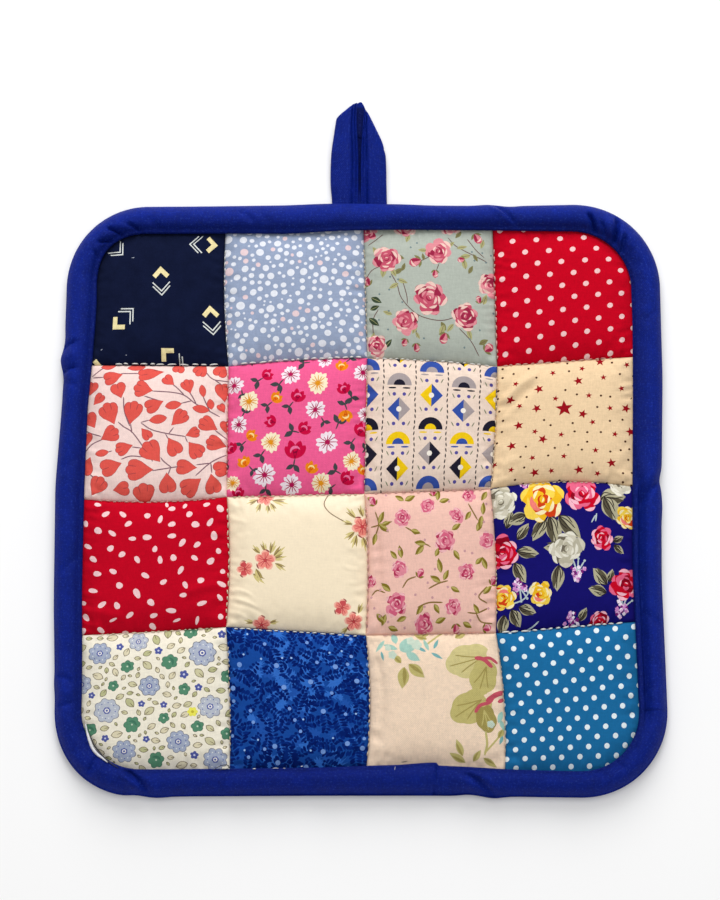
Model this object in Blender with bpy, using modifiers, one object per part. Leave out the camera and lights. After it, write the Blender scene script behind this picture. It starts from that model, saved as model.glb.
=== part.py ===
"""Quilted patchwork pot holder with a bound edge and a hanging loop, lying on its back.

Metres, +Z up. The face of the pot holder is up and its loop points along +Y. The origin is on the
surface that it lies on, under the middle of the whole outline, loop included.
"""
import math

import bmesh
import bpy
import numpy as np

# ---------------------------------------------------------------- driving dimensions
PATCHES = 4                    # squares along each side
PANEL_WIDTH = 0.1880           # the patchwork that shows inside the binding
PANEL_LENGTH = 0.1862
PANEL_CORNER = 0.0197          # radius of the panel's rounded corners
BINDING_WIDTH = 0.0100         # the binding's flat width on the face
OVERALL_LENGTH = 0.2446        # bottom of the binding to the tip of the loop

PAD_SEAM = 0.0032              # thickness of the pad where a seam is quilted down
PAD_CROWN = 0.0042             # how much higher the middle of each patch stands
PAD_TUCK = 0.0056              # how far the pad's raw edge reaches inside the binding

BINDING_CLOTH = 0.0011         # thickness of the folded binding cloth
STRAP_CLOTH = 0.0015           # thickness of the four-layer strap of the loop
LAYER_GAP = 0.0004             # air between two layers of the folded strap

CENTRE_Y = (PANEL_LENGTH / 2 + BINDING_WIDTH) - OVERALL_LENGTH / 2   # middle of the pad
HALF_W = PANEL_WIDTH / 2
HALF_L = PANEL_LENGTH / 2

# Mesh density
PATCH_CELLS = 8                # cells across each patch
TUCK_CELLS = 2                 # cells from the panel's edge to the pad's raw edge
CORNER_STEPS = 8               # stations round each corner of the binding
SIDE_STEPS = 17                # stations along each straight side
SHARP_ANGLE = math.radians(40)

# The edge as it settled, by bearing about the pad's middle: anticlockwise from +X, in degrees.
EDGE_DRIFT = (
    # bearing, outward (m)
    (0, -0.0003),
    (22, 0.0010),
    (45, 0.0002),
    (65, -0.0002),
    (95, 0.0005),
    (118, -0.0003),
    (145, -0.0016),
    (162, -0.0009),
    (178, 0.0009),
    (200, 0.0006),
    (214, -0.0010),
    (232, -0.0005),
    (262, -0.0008),
    (290, -0.0008),
    (313, 0.0009),
    (344, -0.0008),
)

# How far each seam strays from its even place, at the panel's edges and the crossings between (m).
UPRIGHT_DRIFT = (
    # seam, bottom, third crossing, second, first, top: positive is towards +X
    ("left", 0.0028, 0.0013, 0.0011, 0.0013, -0.0002),
    ("middle", 0.0022, 0.0020, 0.0015, 0.0025, 0.0013),
    ("right", 0.0020, -0.0006, -0.0020, 0.0007, -0.0004),
)
LEVEL_DRIFT = (
    # seam, left end, first crossing, second, third, right end: positive is towards +Y
    ("bottom", -0.0014, 0.0014, -0.0015, -0.0007, 0.0031),
    ("middle", -0.0012, -0.0003, 0.0008, 0.0024, 0.0034),
    ("top", -0.0005, -0.0010, 0.0020, -0.0010, 0.0023),
)

# The pad's raw edge inside the binding.
TUCK_SECTION = (
    # out from the panel, top, underside (m)
    (0.0, PAD_SEAM, 0.0022),
    (PAD_TUCK / 2, 0.0037, 0.0022),
    (PAD_TUCK, 0.0036, 0.0024),
)

# The outer face of the binding, from its sewn front fold over the crest to its sewn back fold.
BINDING_SECTION = (
    # fold, out as a share of the width, height (m)
    ("front fold", 0.02, 0.0046),
    ("front swell", 0.12, 0.0062),
    ("shoulder", 0.31, 0.0075),
    ("crest", 0.54, 0.0079),
    ("outer shoulder", 0.79, 0.0069),
    ("outermost", 1.00, 0.0040),
    ("outer foot", 0.93, 0.0012),
    ("foot", 0.75, 0.0),
    ("back", 0.40, 0.0),
    ("back fold", 0.06, 0.0),
)
BINDING_CREST = max(height for _, _, height in BINDING_SECTION)

# The legs of the loop's strap, each from its sewn end up to its folded edge. A rib is one line across
# the strap, placed from the middle of the binding's top edge (m). A lift of 0 lies on the surface, and
# one of 1 lies on the band of strap that crosses behind the point.
LEFT_LEG = (
    # rib, outer edge x and y, inner edge x and y, lift
    ("sewn end", -0.0103, -0.0083, -0.0010, -0.0083, 0.0),
    ("at the binding", -0.0103, 0.0004, -0.0010, 0.0004, 0.0),
    ("rising", -0.0106, 0.0130, -0.0014, 0.0140, 0.35),
    ("over the band", -0.0102, 0.0240, -0.0016, 0.0280, 1.0),
    ("folded edge", -0.0078, 0.0300, -0.0008, 0.0373, 1.0),
)
RIGHT_LEG = (
    # rib, outer edge x and y, inner edge x and y, lift
    ("sewn end", 0.0098, -0.0083, 0.0002, -0.0083, 0.0),
    ("at the binding", 0.0098, 0.0004, 0.0002, 0.0004, 0.0),
    ("rising", 0.0096, 0.0080, 0.0006, 0.0110, 0.5),
    ("over the band", 0.0090, 0.0145, 0.0009, 0.0240, 1.0),
    ("folded edge", 0.0074, 0.0180, 0.0006, 0.0356, 1.0),
)
LEG_STEPS = 2                  # steps from one rib of a leg to the next
FOLD_STEPS = 5                 # steps round each folded edge
STRAP_CELLS = 4                # cells across the strap
STRAP_LIFT = STRAP_CLOTH + 0.0004
STRAP_LIFT_FLAT = 0.0120       # the binding and pad rise over the strap's ends this far each side,
STRAP_LIFT_FADE = 0.0280       # and lie flat again from here

# ---------------------------------------------------------------- cloth
BLUE = (0.012, 0.020, 0.220, 1.0)
CLOTHS = {
    # piece: colour, roughness
    "quilted_pad": ((0.62, 0.45, 0.42, 1.0), 0.85),
    "edge_binding": (BLUE, 0.75),
    "hanging_loop": (BLUE, 0.75),
}


def clear_scene():
    for thing in list(bpy.data.objects):
        bpy.data.objects.remove(thing, do_unlink=True)


def new_collection(name):
    group = bpy.data.collections.new(name)
    bpy.context.scene.collection.children.link(group)
    return group


def cloth_material(name):
    colour, roughness = CLOTHS[name]
    material = bpy.data.materials.new(name + "_cloth")
    material.use_nodes = True
    shader = material.node_tree.nodes["Principled BSDF"]
    shader.inputs["Base Color"].default_value = colour
    shader.inputs["Roughness"].default_value = roughness
    shader.inputs["Metallic"].default_value = 0.0
    return material


def cloth_grid(name, group, columns, rows, place):
    """A grid of columns by rows cells, each point put where place(column, row) says."""
    bpy.ops.mesh.primitive_grid_add(x_subdivisions=columns, y_subdivisions=rows, size=2)
    piece = bpy.context.object
    piece.name = name
    piece.data.name = name
    for vertex in piece.data.vertices:
        column = round((vertex.co.x + 1) * columns / 2)
        row = round((vertex.co.y + 1) * rows / 2)
        vertex.co = place(column, row)
    piece.data.materials.append(cloth_material(name))
    for owner in list(piece.users_collection):
        owner.objects.unlink(piece)
    group.objects.link(piece)
    return piece


def edit_mesh(piece, change):
    """Run change(bm) on the piece's mesh."""
    bm = bmesh.new()
    bm.from_mesh(piece.data)
    change(bm)
    bm.to_mesh(piece.data)
    bm.free()


def smooth(piece):
    piece.data.shade_smooth()
    piece.data.set_sharp_from_angle(angle=SHARP_ANGLE)


def thicken(piece, thickness, offset):
    solid = piece.modifiers.new("cloth thickness", "SOLIDIFY")
    solid.thickness = thickness
    solid.offset = offset
    solid.use_rim = True


# ---------------------------------------------------------------- plan of the pad
def settle(x, y):
    """The even plan about the pad's middle, moved out or in as the edge has settled."""
    bearing = math.degrees(math.atan2(y, x)) % 360
    bearings = [row[0] for row in EDGE_DRIFT]
    drifts = [row[1] for row in EDGE_DRIFT]
    out = np.interp(bearing, bearings, drifts, period=360)
    share = max(abs(x) / (HALF_W + BINDING_WIDTH), abs(y) / (HALF_L + BINDING_WIDTH))
    reach = math.hypot(x, y)
    if reach == 0:
        return x, y + CENTRE_Y
    grow = 1 + out * share ** 2 / reach
    return x * grow, y * grow + CENTRE_Y


def strap_lift(x, y, z):
    """The height z of a point of the pad or binding, raised where the strap's ends lie under it."""
    if y < 0 or z >= BINDING_CREST:
        return z
    fade = (STRAP_LIFT_FADE - abs(x)) / (STRAP_LIFT_FADE - STRAP_LIFT_FLAT)
    fade = min(max(fade, 0), 1)
    fade = fade * fade * (3 - 2 * fade)
    return z + STRAP_LIFT * fade * (1 - z / BINDING_CREST)


def round_corner(x, y):
    """A point of the pad's square plan moved to its round-cornered plan.

    In each corner the lines at one distance from the edge become arcs about the corner's centre.
    """
    radius = PANEL_CORNER + PAD_TUCK
    side = (abs(x) - (HALF_W - PANEL_CORNER)) / radius
    end = (abs(y) - (HALF_L - PANEL_CORNER)) / radius
    if min(side, end) <= 0:
        return x, y
    ring = max(side, end)
    turn = math.pi / 4 * min(side, end) / ring
    near, far = ring * math.sin(turn), ring * math.cos(turn)
    side, end = (far, near) if side > end else (near, far)
    across = HALF_W - PANEL_CORNER + side * radius
    along = HALF_L - PANEL_CORNER + end * radius
    return math.copysign(across, x), math.copysign(along, y)


def seam_drift(table, seam, along):
    """How far the plan strays sideways at patch coordinates seam and along, both 0 to PATCHES."""
    places = range(PATCHES + 1)
    still = (0.0,) * (PATCHES + 1)
    lines = [still] + [row[1:] for row in table] + [still]
    at_seams = [np.interp(along, places, line) for line in lines]
    return np.interp(seam, places, at_seams)


# ---------------------------------------------------------------- quilted pad
def pad_marks(length):
    """Places of the grid lines across the pad, from the panel's edge, the first few inside the binding."""
    tuck = [PAD_TUCK * (TUCK_CELLS - i) / TUCK_CELLS for i in range(TUCK_CELLS)]
    cells = PATCHES * PATCH_CELLS
    panel = [length * i / cells for i in range(cells + 1)]
    return [-step for step in tuck] + panel + [length + step for step in reversed(tuck)]


def pillow(place):
    """The crown's share across one patch, 0 at its seams and 1 in its middle."""
    part = place - math.floor(place)
    return math.sqrt(max(4 * part * (1 - part), 0))


def make_pad(group):
    across = pad_marks(PANEL_WIDTH)
    along = pad_marks(PANEL_LENGTH)
    outs, tops, undersides = np.transpose(TUCK_SECTION)
    face_heights = []

    def place(column, row):
        """A point of the back. The face's height over it goes to face_heights."""
        u, v = across[column], along[row]
        tucked = max(-u, u - PANEL_WIDTH, -v, v - PANEL_LENGTH)
        patch_u = min(max(u / PANEL_WIDTH, 0), 1) * PATCHES
        patch_v = min(max(v / PANEL_LENGTH, 0), 1) * PATCHES
        x, y = round_corner(u - HALF_W, v - HALF_L)
        x += seam_drift(UPRIGHT_DRIFT, patch_u, patch_v)
        y += seam_drift(LEVEL_DRIFT, patch_v, patch_u)
        if tucked < 0:
            back = 0
            face = PAD_SEAM + PAD_CROWN * pillow(patch_u) * pillow(patch_v)
        else:
            back = strap_lift(x, y, np.interp(tucked, outs, undersides))
            face = strap_lift(x, y, np.interp(tucked, outs, tops))
        face_heights.append(face)
        return *settle(x, y), back

    pad = cloth_grid("quilted_pad", group, len(across) - 1, len(along) - 1, place)

    def fill(bm):
        """Raise the crowned face over the back, and make the flat of the back one face."""
        height = bm.verts.layers.float.new("face height")
        for vertex in bm.verts:
            vertex[height] = face_heights[vertex.index]
        raised = bmesh.ops.extrude_face_region(bm, geom=list(bm.faces))["geom"]
        for vertex in raised:
            if isinstance(vertex, bmesh.types.BMVert):
                vertex.co.z = vertex[height]
        bm.verts.layers.float.remove(height)
        flat = [f for f in bm.faces if all(v.co.z == 0 for v in f.verts)]
        bmesh.ops.dissolve_faces(bm, faces=flat)
        bmesh.ops.recalc_face_normals(bm, faces=list(bm.faces))

    edit_mesh(pad, fill)
    smooth(pad)


# ---------------------------------------------------------------- edge binding
def panel_outline():
    """Stations round the panel's edge, anticlockwise: the centre each turns about, and its bearing."""
    centre_x, centre_y = HALF_W - PANEL_CORNER, HALF_L - PANEL_CORNER
    quarters = ((1, 1), (-1, 1), (-1, -1), (1, -1))
    centres = [np.array([centre_x * side_x, centre_y * side_y]) for side_x, side_y in quarters]
    stations = []
    for quarter in range(4):
        before, here = centres[quarter - 1], centres[quarter]
        bearing = math.radians(90 * quarter)
        for step in range(SIDE_STEPS):
            stations.append((*(before + (here - before) * step / SIDE_STEPS), bearing))
        for step in range(CORNER_STEPS):
            stations.append((*here, bearing + math.pi / 2 * step / CORNER_STEPS))
    return stations


def make_binding(group):
    stations = panel_outline()

    def place(column, row):
        x, y, bearing = stations[column % len(stations)]
        share, z = BINDING_SECTION[row][1:]
        reach = PANEL_CORNER + share * BINDING_WIDTH
        x += reach * math.cos(bearing)
        y += reach * math.sin(bearing)
        return *settle(x, y), strap_lift(x, y, z)

    binding = cloth_grid("edge_binding", group, len(stations), len(BINDING_SECTION) - 1, place)

    def join(bm):
        bmesh.ops.remove_doubles(bm, verts=list(bm.verts), dist=0.00001)
        bmesh.ops.recalc_face_normals(bm, faces=list(bm.faces))

    edit_mesh(binding, join)
    thicken(binding, BINDING_CLOTH, -1)
    smooth(binding)


# ---------------------------------------------------------------- hanging loop
LAYER_PITCH = STRAP_CLOTH + LAYER_GAP


def strap_leg(table):
    """The ribs of one leg, from its sewn end to its folded edge, each an outer and an inner point."""
    top_edge = CENTRE_Y + HALF_L + BINDING_WIDTH
    marks = []
    for _, outer_x, outer_y, inner_x, inner_y, lift in table:
        z = STRAP_CLOTH / 2 + LAYER_PITCH * lift
        marks.append(np.array([[outer_x, outer_y + top_edge, z], [inner_x, inner_y + top_edge, z]]))
    ribs = []
    for near, far in zip(marks, marks[1:]):
        ribs += [near + (far - near) * step / LEG_STEPS for step in range(LEG_STEPS)]
    return ribs + [marks[-1]]


def folded_edge(line):
    """The ribs after a leg's last one, round its folded edge and down to the band behind."""
    along = line[1] - line[0]
    outward = np.array([-along[1], along[0], 0]) / math.hypot(along[0], along[1])
    if outward[1] < 0:
        outward = -outward
    radius = LAYER_PITCH / 2
    ribs = []
    for step in range(1, FOLD_STEPS + 1):
        angle = math.pi * step / FOLD_STEPS
        drop = np.array([0, 0, radius * (math.cos(angle) - 1)])
        ribs.append(line + outward * radius * math.sin(angle) + drop)
    return ribs


def make_loop(group):
    left, right = strap_leg(LEFT_LEG), strap_leg(RIGHT_LEG)
    left += folded_edge(left[-1])
    right += folded_edge(right[-1])
    band_middle = (left[-1] + right[-1]) / 2
    ribs = left + [band_middle] + right[::-1]

    def place(column, row):
        outer, inner = ribs[column]
        return outer + (inner - outer) * row / STRAP_CELLS

    loop = cloth_grid("hanging_loop", group, len(ribs) - 1, STRAP_CELLS, place)
    thicken(loop, STRAP_CLOTH, 0)
    smooth(loop)


clear_scene()
pot_holder = new_collection("quilted_pot_holder")
make_pad(pot_holder)
make_binding(pot_holder)
make_loop(pot_holder)
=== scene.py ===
"""Quilted patchwork pot holder, lying face up: sixteen printed cotton patches, quilted and bound in blue."""

import math
import random

import bmesh
import bpy
import numpy as np
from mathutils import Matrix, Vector
from mathutils.geometry import delaunay_2d_cdt


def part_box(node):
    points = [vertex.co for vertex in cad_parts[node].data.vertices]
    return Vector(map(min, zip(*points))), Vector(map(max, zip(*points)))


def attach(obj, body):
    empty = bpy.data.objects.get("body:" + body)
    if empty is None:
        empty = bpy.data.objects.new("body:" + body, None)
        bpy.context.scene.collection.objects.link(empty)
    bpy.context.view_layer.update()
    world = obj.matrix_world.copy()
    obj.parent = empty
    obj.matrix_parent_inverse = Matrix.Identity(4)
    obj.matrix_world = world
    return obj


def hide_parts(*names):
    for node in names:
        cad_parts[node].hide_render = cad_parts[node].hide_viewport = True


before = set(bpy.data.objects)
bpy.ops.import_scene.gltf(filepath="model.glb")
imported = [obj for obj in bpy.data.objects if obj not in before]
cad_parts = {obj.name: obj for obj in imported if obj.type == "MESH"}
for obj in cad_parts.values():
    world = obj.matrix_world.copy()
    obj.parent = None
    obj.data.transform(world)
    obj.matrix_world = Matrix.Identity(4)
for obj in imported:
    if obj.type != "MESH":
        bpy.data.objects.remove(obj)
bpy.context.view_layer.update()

# ==== Piecing and quilting of the pad
# Four rows of four squares pieced by hand, laid over wadding and quilted down along every seam.
# Each seam wanders a little, and each square puffs up between its seams with small puckers.
MM = 0.001
SQUARE = 47.0                 # finished side of one square, mm
HALF_SQUARE = SQUARE / 2
SEAM_LEVEL = 3.3              # height of the quilted seams over the table
CROWN = 3.5                   # how much higher the middle of a square stands

low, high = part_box("edge_binding")
PAD_X = (low[0] + high[0]) / 2
PAD_Y = (low[1] + high[1]) / 2

# Where the seams cross, bottom row first, from the middle of the pad.
CROSSINGS = np.array([
    [(-94.5, -93.5), (-44.0, -93.3), (2.2, -92.4), (49.0, -93.7), (93.8, -94.0)],
    [(-94.6, -48.0), (-45.7, -45.2), (2.0, -48.1), (46.4, -47.3), (93.1, -43.5)],
    [(-94.9, -1.2), (-45.9, -0.3), (1.5, 0.8), (45.0, 2.4), (93.6, 3.4)],
    [(-93.2, 46.0), (-45.7, 45.6), (2.5, 48.6), (47.7, 45.6), (94.5, 49.0)],
    [(-92.5, 93.0), (-47.2, 93.0), (1.3, 93.8), (46.6, 94.0), (95.0, 93.5)],
])
# How far each seam bows half way between two crossings: towards +X for upright seams, +Y for level ones.
UPRIGHT_BOWS = (
    (0.0, 0.6, 1.3, 1.2, 0.3),
    (-0.3, 1.0, 1.0, 0.9, -0.2),
    (-0.4, 0.0, 0.0, 0.5, 0.2),
    (1.0, -1.0, 0.0, 0.0, 0.2),
)
LEVEL_BOWS = (
    (0.0, 0.0, 1.5, 0.0),
    (-0.2, 0.0, 0.0, 0.0),
    (-1.3, 0.0, 0.0, 2.1),
    (0.0, 0.6, 0.4, 0.0),
    (0.3, 0.0, 0.3, 0.0),
)


def seam_knots():
    """Places of the crossings and of the points half way between them, 9 by 9."""
    knots = np.zeros((9, 9, 2))
    knots[::2, ::2] = CROSSINGS
    knots[1::2, ::2] = (CROSSINGS[:-1] + CROSSINGS[1:]) / 2
    knots[1::2, ::2, 0] += np.array(UPRIGHT_BOWS)
    knots[::2, 1::2] = (CROSSINGS[:, :-1] + CROSSINGS[:, 1:]) / 2
    knots[::2, 1::2, 1] += np.array(LEVEL_BOWS)
    knots[1::2, 1::2] = (knots[1::2, :-2:2] + knots[1::2, 2::2] + knots[:-2:2, 1::2] + knots[2::2, 1::2]) / 4
    return knots


KNOTS = seam_knots()


def shape_shares(t):
    """Shares of a curve's start, middle and end marks at t of its way."""
    return np.stack([(1 - t) * (1 - 2 * t), 4 * t * (1 - t), t * (2 * t - 1)], axis=-1)


def plan(a, b):
    """Place on the pad, in mm from its middle, of a squares across and b squares up from bottom left."""
    a, b = np.asarray(a, float), np.asarray(b, float)
    column = np.clip(np.floor(a), 0, 3).astype(int)
    row = np.clip(np.floor(b), 0, 3).astype(int)
    across, up = shape_shares(a - column), shape_shares(b - row)
    place = np.zeros(a.shape + (2,))
    for i in range(3):
        for j in range(3):
            share = (up[..., i] * across[..., j])[..., None]
            place += share * KNOTS[2 * row + i, 2 * column + j]
    return place


# How far the bound edge strays from a true round-cornered square, by bearing about the pad's middle.
PANEL_HALF_X, PANEL_HALF_Y, PANEL_CORNER = 94.0, 93.1, 19.7
EDGE_DRIFT = (
    # bearing, inner edge of the binding, outer edge (mm outward)
    (0, -0.3, -0.3), (22, 0.6, 1.0), (33, 0.9, 0.8), (46, 0.3, 0.7), (63, 0.8, -0.2), (75, 1.0, 0.0),
    (93, 0.6, 0.5), (104, -0.4, 0.1), (118, -0.3, -0.3), (129, -0.5, -0.5), (135, 0.2, -0.9),
    (140, -2.0, -1.4), (144, -2.3, -1.6), (152, -1.3, -1.3), (162, 0.2, -0.9), (178, 0.8, 0.9),
    (200, 0.9, 0.6), (208, 0.5, 0.0), (215, 0.2, -0.6), (225, 0.4, 0.3), (233, 0.5, -0.4), (244, 0.3, -0.6),
    (262, -0.1, -0.8), (272, -0.7, -0.8), (284, -1.3, -0.8), (298, 0.5, -0.4), (307, 1.1, -0.1),
    (313, 1.2, 0.2), (323, 0.4, 0.3), (344, -0.8, -0.8),
)
DRIFT_BEARINGS, INNER_DRIFT, OUTER_DRIFT = (np.array(column, float) for column in zip(*EDGE_DRIFT))


def drift(bearing, table):
    """Smooth value of a drift table at bearings in degrees."""
    fine = np.arange(0, 360, 2.0)
    rough = np.interp(fine, DRIFT_BEARINGS, table, period=360)
    soft = (np.roll(rough, 1) + 2 * rough + np.roll(rough, -1)) / 4
    return np.interp(bearing, fine, soft, period=360)


def room_inside(place):
    """Distance in mm from a place on the pad to the binding's inner edge, negative beyond it."""
    x, y = place[..., 0], place[..., 1]
    bearing = np.degrees(np.arctan2(y, x))
    side = np.abs(x) - (PANEL_HALF_X - PANEL_CORNER)
    end = np.abs(y) - (PANEL_HALF_Y - PANEL_CORNER)
    out = np.hypot(np.maximum(side, 0), np.maximum(end, 0)) + np.minimum(np.maximum(side, end), 0)
    return PANEL_CORNER + drift(bearing, INNER_DRIFT) - out


CELLS = 36                    # cloth cells across one square


def puff_quilt():
    """Share of the crown over the whole quilt, from a cloth held at its seams and puffed from below."""
    count = 4 * CELLS + 1
    steps = np.linspace(0, 4, count)
    a, b = np.meshgrid(steps, steps)
    held = room_inside(plan(a, b)) < 0.2
    held |= (np.arange(count) % CELLS == 0)[None, :] | (np.arange(count) % CELLS == 0)[:, None]
    pillow = np.abs(np.sin(np.pi * a) * np.sin(np.pi * b)) * ~held
    big = 20.0                # the cloth is puffed at this many times its size, then taken down again
    side = SQUARE * MM * big
    bm = bmesh.new()
    rng = np.random.default_rng(5)
    rough = rng.normal(0, 0.1, a.shape) * ~held
    spots = [
        bm.verts.new((a.flat[i] * side, b.flat[i] * side, (2 * pillow.flat[i] + rough.flat[i]) * MM * big))
        for i in range(a.size)
    ]
    for row in range(count - 1):
        for column in range(count - 1):
            at = row * count + column
            ring = [spots[at], spots[at + 1], spots[at + count + 1], spots[at + count]]
            bm.faces.new(ring)
    mesh = bpy.data.meshes.new("quilting")
    bm.to_mesh(mesh)
    bm.free()
    cloth = bpy.data.objects.new("quilting", mesh)
    bpy.context.scene.collection.objects.link(cloth)
    pins = cloth.vertex_groups.new(name="seams")
    pins.add([int(i) for i in np.flatnonzero(held)], 1.0, "REPLACE")
    puffing = cloth.modifiers.new("puffing", "CLOTH")
    settings = puffing.settings
    settings.quality = 6
    settings.mass = 0.3
    settings.tension_stiffness = settings.compression_stiffness = 25
    settings.shear_stiffness = 8
    settings.bending_stiffness = 8
    settings.vertex_group_mass = "seams"
    settings.use_pressure = True
    settings.uniform_pressure_force = 5
    settings.shrink_min = settings.shrink_max = -0.015
    settings.effector_weights.gravity = 0
    puffing.collision_settings.use_collision = False
    puffing.collision_settings.use_self_collision = False
    frames = 24
    puffing.point_cache.frame_start, puffing.point_cache.frame_end = 1, frames
    for step in range(1, frames + 1):
        bpy.context.scene.frame_set(step)
    shown = cloth.evaluated_get(bpy.context.evaluated_depsgraph_get()).data
    places = np.empty(a.size * 3)
    shown.vertices.foreach_get("co", places)
    bpy.data.objects.remove(cloth, do_unlink=True)
    bpy.data.meshes.remove(mesh)
    bpy.context.scene.frame_set(1)
    height = places.reshape(-1, 3)[:, 2].reshape(a.shape) / big / MM
    return np.tanh(np.maximum(height, 0) / 2.6)


QUILT = puff_quilt()


def quilt_share(a, b):
    """Smooth share of the crown at a squares across and b squares up."""
    limit = 4 * CELLS
    total = np.zeros(np.shape(a))
    at_a = np.clip(np.asarray(a, float) * CELLS, 0, limit - 1e-6)
    at_b = np.clip(np.asarray(b, float) * CELLS, 0, limit - 1e-6)
    cell_a, cell_b = at_a.astype(int), at_b.astype(int)
    shares = []
    for part in (at_a - cell_a, at_b - cell_b):
        shares.append((
            (1 - part) ** 3 / 6,
            (3 * part ** 3 - 6 * part ** 2 + 4) / 6,
            (-3 * part ** 3 + 3 * part ** 2 + 3 * part + 1) / 6,
            part ** 3 / 6,
        ))
    for i in range(4):
        for j in range(4):
            spot = QUILT[np.clip(cell_b + i - 1, 0, limit), np.clip(cell_a + j - 1, 0, limit)]
            total += shares[1][i] * shares[0][j] * spot
    return total


def pad_height(a, b):
    """Height of the patchwork over the table, in mm."""
    room = np.clip(room_inside(plan(a, b)) + 0.2, 0, 1)
    return SEAM_LEVEL + CROWN * quilt_share(a, b) * room


# ==== Navy square with chevrons, top left
# Plain-woven navy cotton printed with thick cream chevrons, each backed by two fine white ones.
# It is cut with a little to spare, sewn to its neighbours by hand and turned down into the seams.
UNDER_BINDING = 3.0           # cloth that runs on under the binding, mm
CLOTH_STEP = 0.58             # spacing of the points that carry the cloth's relief, mm
UNDERSIDE_STEP = 2.4          # the same for its unseen underside
CUT_STEP = 0.6                # spacing of the points along its cut edge
CLOTH_THICKNESS = 0.4
EDGE_STEPS = (0.0, 0.12, 0.3, 0.55, 0.9, 1.4, 2.0)
PUCKER = 0.2                  # height of the small creases beside a seam, mm


def moved(points, x, y, turn=0.0):
    """Points turned by degrees anticlockwise and put at x, y."""
    cos, sin = math.cos(math.radians(turn)), math.sin(math.radians(turn))
    return [(x + px * cos - py * sin, y + px * sin + py * cos) for px, py in points]


def chevron(x, y, turn, arm, width):
    """A chevron whose point looks along turn, with square-cut arms."""
    tip = width * math.sqrt(2)
    reach = arm / math.sqrt(2)
    half = width / math.sqrt(2)
    shape = [(0, 0), (-reach, reach), (-reach - half, reach - half), (-tip, 0)]
    shape += [(-reach - half, half - reach), (-reach, -reach)]
    return moved([(px + reach / 2, py) for px, py in shape], x, y, turn)


def linear(colour):
    """An everyday 0 to 255 colour as the share of light that dyed cotton gives back."""
    parts = np.asarray(colour, float) / 255
    return 0.82 * np.where(parts <= 0.04045, parts / 12.92, ((parts + 0.055) / 1.055) ** 2.4)


def square_sides(column, row):
    """Left, right, bottom and top of a square's cloth, in mm from its middle."""
    more = HALF_SQUARE + UNDER_BINDING
    return (
        -more if column == 0 else -HALF_SQUARE,
        more if column == 3 else HALF_SQUARE,
        -more if row == 0 else -HALF_SQUARE,
        more if row == 3 else HALF_SQUARE,
    )


def corner_bend(column, row):
    """Centre and radius of the arc that the binding gives a corner square, or None."""
    if column not in (0, 3) or row not in (0, 3):
        return None
    inset = HALF_SQUARE - PANEL_CORNER
    return (-inset if column == 0 else inset), (-inset if row == 0 else inset), PANEL_CORNER + UNDER_BINDING


def square_outline(column, row):
    """The cloth's cut edge, anticlockwise, with a point about every CUT_STEP."""
    left, right, bottom, top = square_sides(column, row)
    bend = corner_bend(column, row)
    edge = []
    corners = [(left, bottom), (right, bottom), (right, top), (left, top)]
    for here, ahead in zip(corners, corners[1:] + corners[:1]):
        length = math.dist(here, ahead)
        count = round(length / CUT_STEP)
        for step in range(count):
            t = step / count
            edge.append((here[0] + (ahead[0] - here[0]) * t, here[1] + (ahead[1] - here[1]) * t))
    if bend:
        x, y, radius = bend
        rounded = []
        for px, py in edge:
            dx, dy = px - x, py - y
            if dx * x > 0 and dy * y > 0:
                reach = math.hypot(dx, dy)
                px, py = x + dx * radius / reach, y + dy * radius / reach
            rounded.append((px, py))
        edge = rounded
    return edge


def line_marks(low, high, low_seam, high_seam, step):
    """Places of the relief points along one side, closer together beside a sewn seam."""
    marks = list(np.linspace(low, high, round((high - low) / step) + 1)[1:-1])
    if low_seam:
        marks = [m for m in marks if m > low + EDGE_STEPS[-1] + step / 2] + [low + s for s in EDGE_STEPS[1:]]
    if high_seam:
        marks = [m for m in marks if m < high - EDGE_STEPS[-1] - step / 2]
        marks += [high - s for s in EDGE_STEPS[1:]]
    return sorted(marks)


def relief_points(column, row, step):
    """Points inside a square's cut edge, about step mm apart."""
    left, right, bottom, top = square_sides(column, row)
    fine = step < 1
    across = line_marks(left, right, fine and column > 0, fine and column < 3, step)
    up = line_marks(bottom, top, fine and row > 0, fine and row < 3, step)
    points = [(x, y) for x in across for y in up]
    bend = corner_bend(column, row)
    if bend:
        x, y, radius = bend
        points = [(px, py) for px, py in points
                  if (px - x) * x <= 0 or (py - y) * y <= 0 or math.hypot(px - x, py - y) < radius - 0.25]
    return points


def cut_out(outline, printed, points):
    """Triangles of the cloth inside its outline, and the number of the topmost print on each."""
    spots, rings = [], []
    for shape in [outline] + printed:
        area = sum(a[0] * b[1] - b[0] * a[1] for a, b in zip(shape, shape[1:] + shape[:1]))
        shape = shape if area > 0 else shape[::-1]
        rings.append(list(range(len(spots), len(spots) + len(shape))))
        spots += shape
    spots += points
    vertices, _, faces, sources, _, owners = delaunay_2d_cdt(
        [Vector(p) for p in spots], [], rings, 0, 1e-4, True)
    kept = [(face, max(owner)) for face, owner in zip(faces, owners) if 0 in owner]
    return np.array([tuple(v) for v in vertices]), kept, sources


def seam_gap(x, y, column, row):
    """Distance in mm to the nearest sewn seam of a square."""
    gap = np.full(x.shape, 99.0)
    for beside, distance in (
        (column > 0, x + HALF_SQUARE), (column < 3, HALF_SQUARE - x),
        (row > 0, y + HALF_SQUARE), (row < 3, HALF_SQUARE - y),
    ):
        if beside:
            gap = np.minimum(gap, distance)
    return np.maximum(gap, 0)


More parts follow.
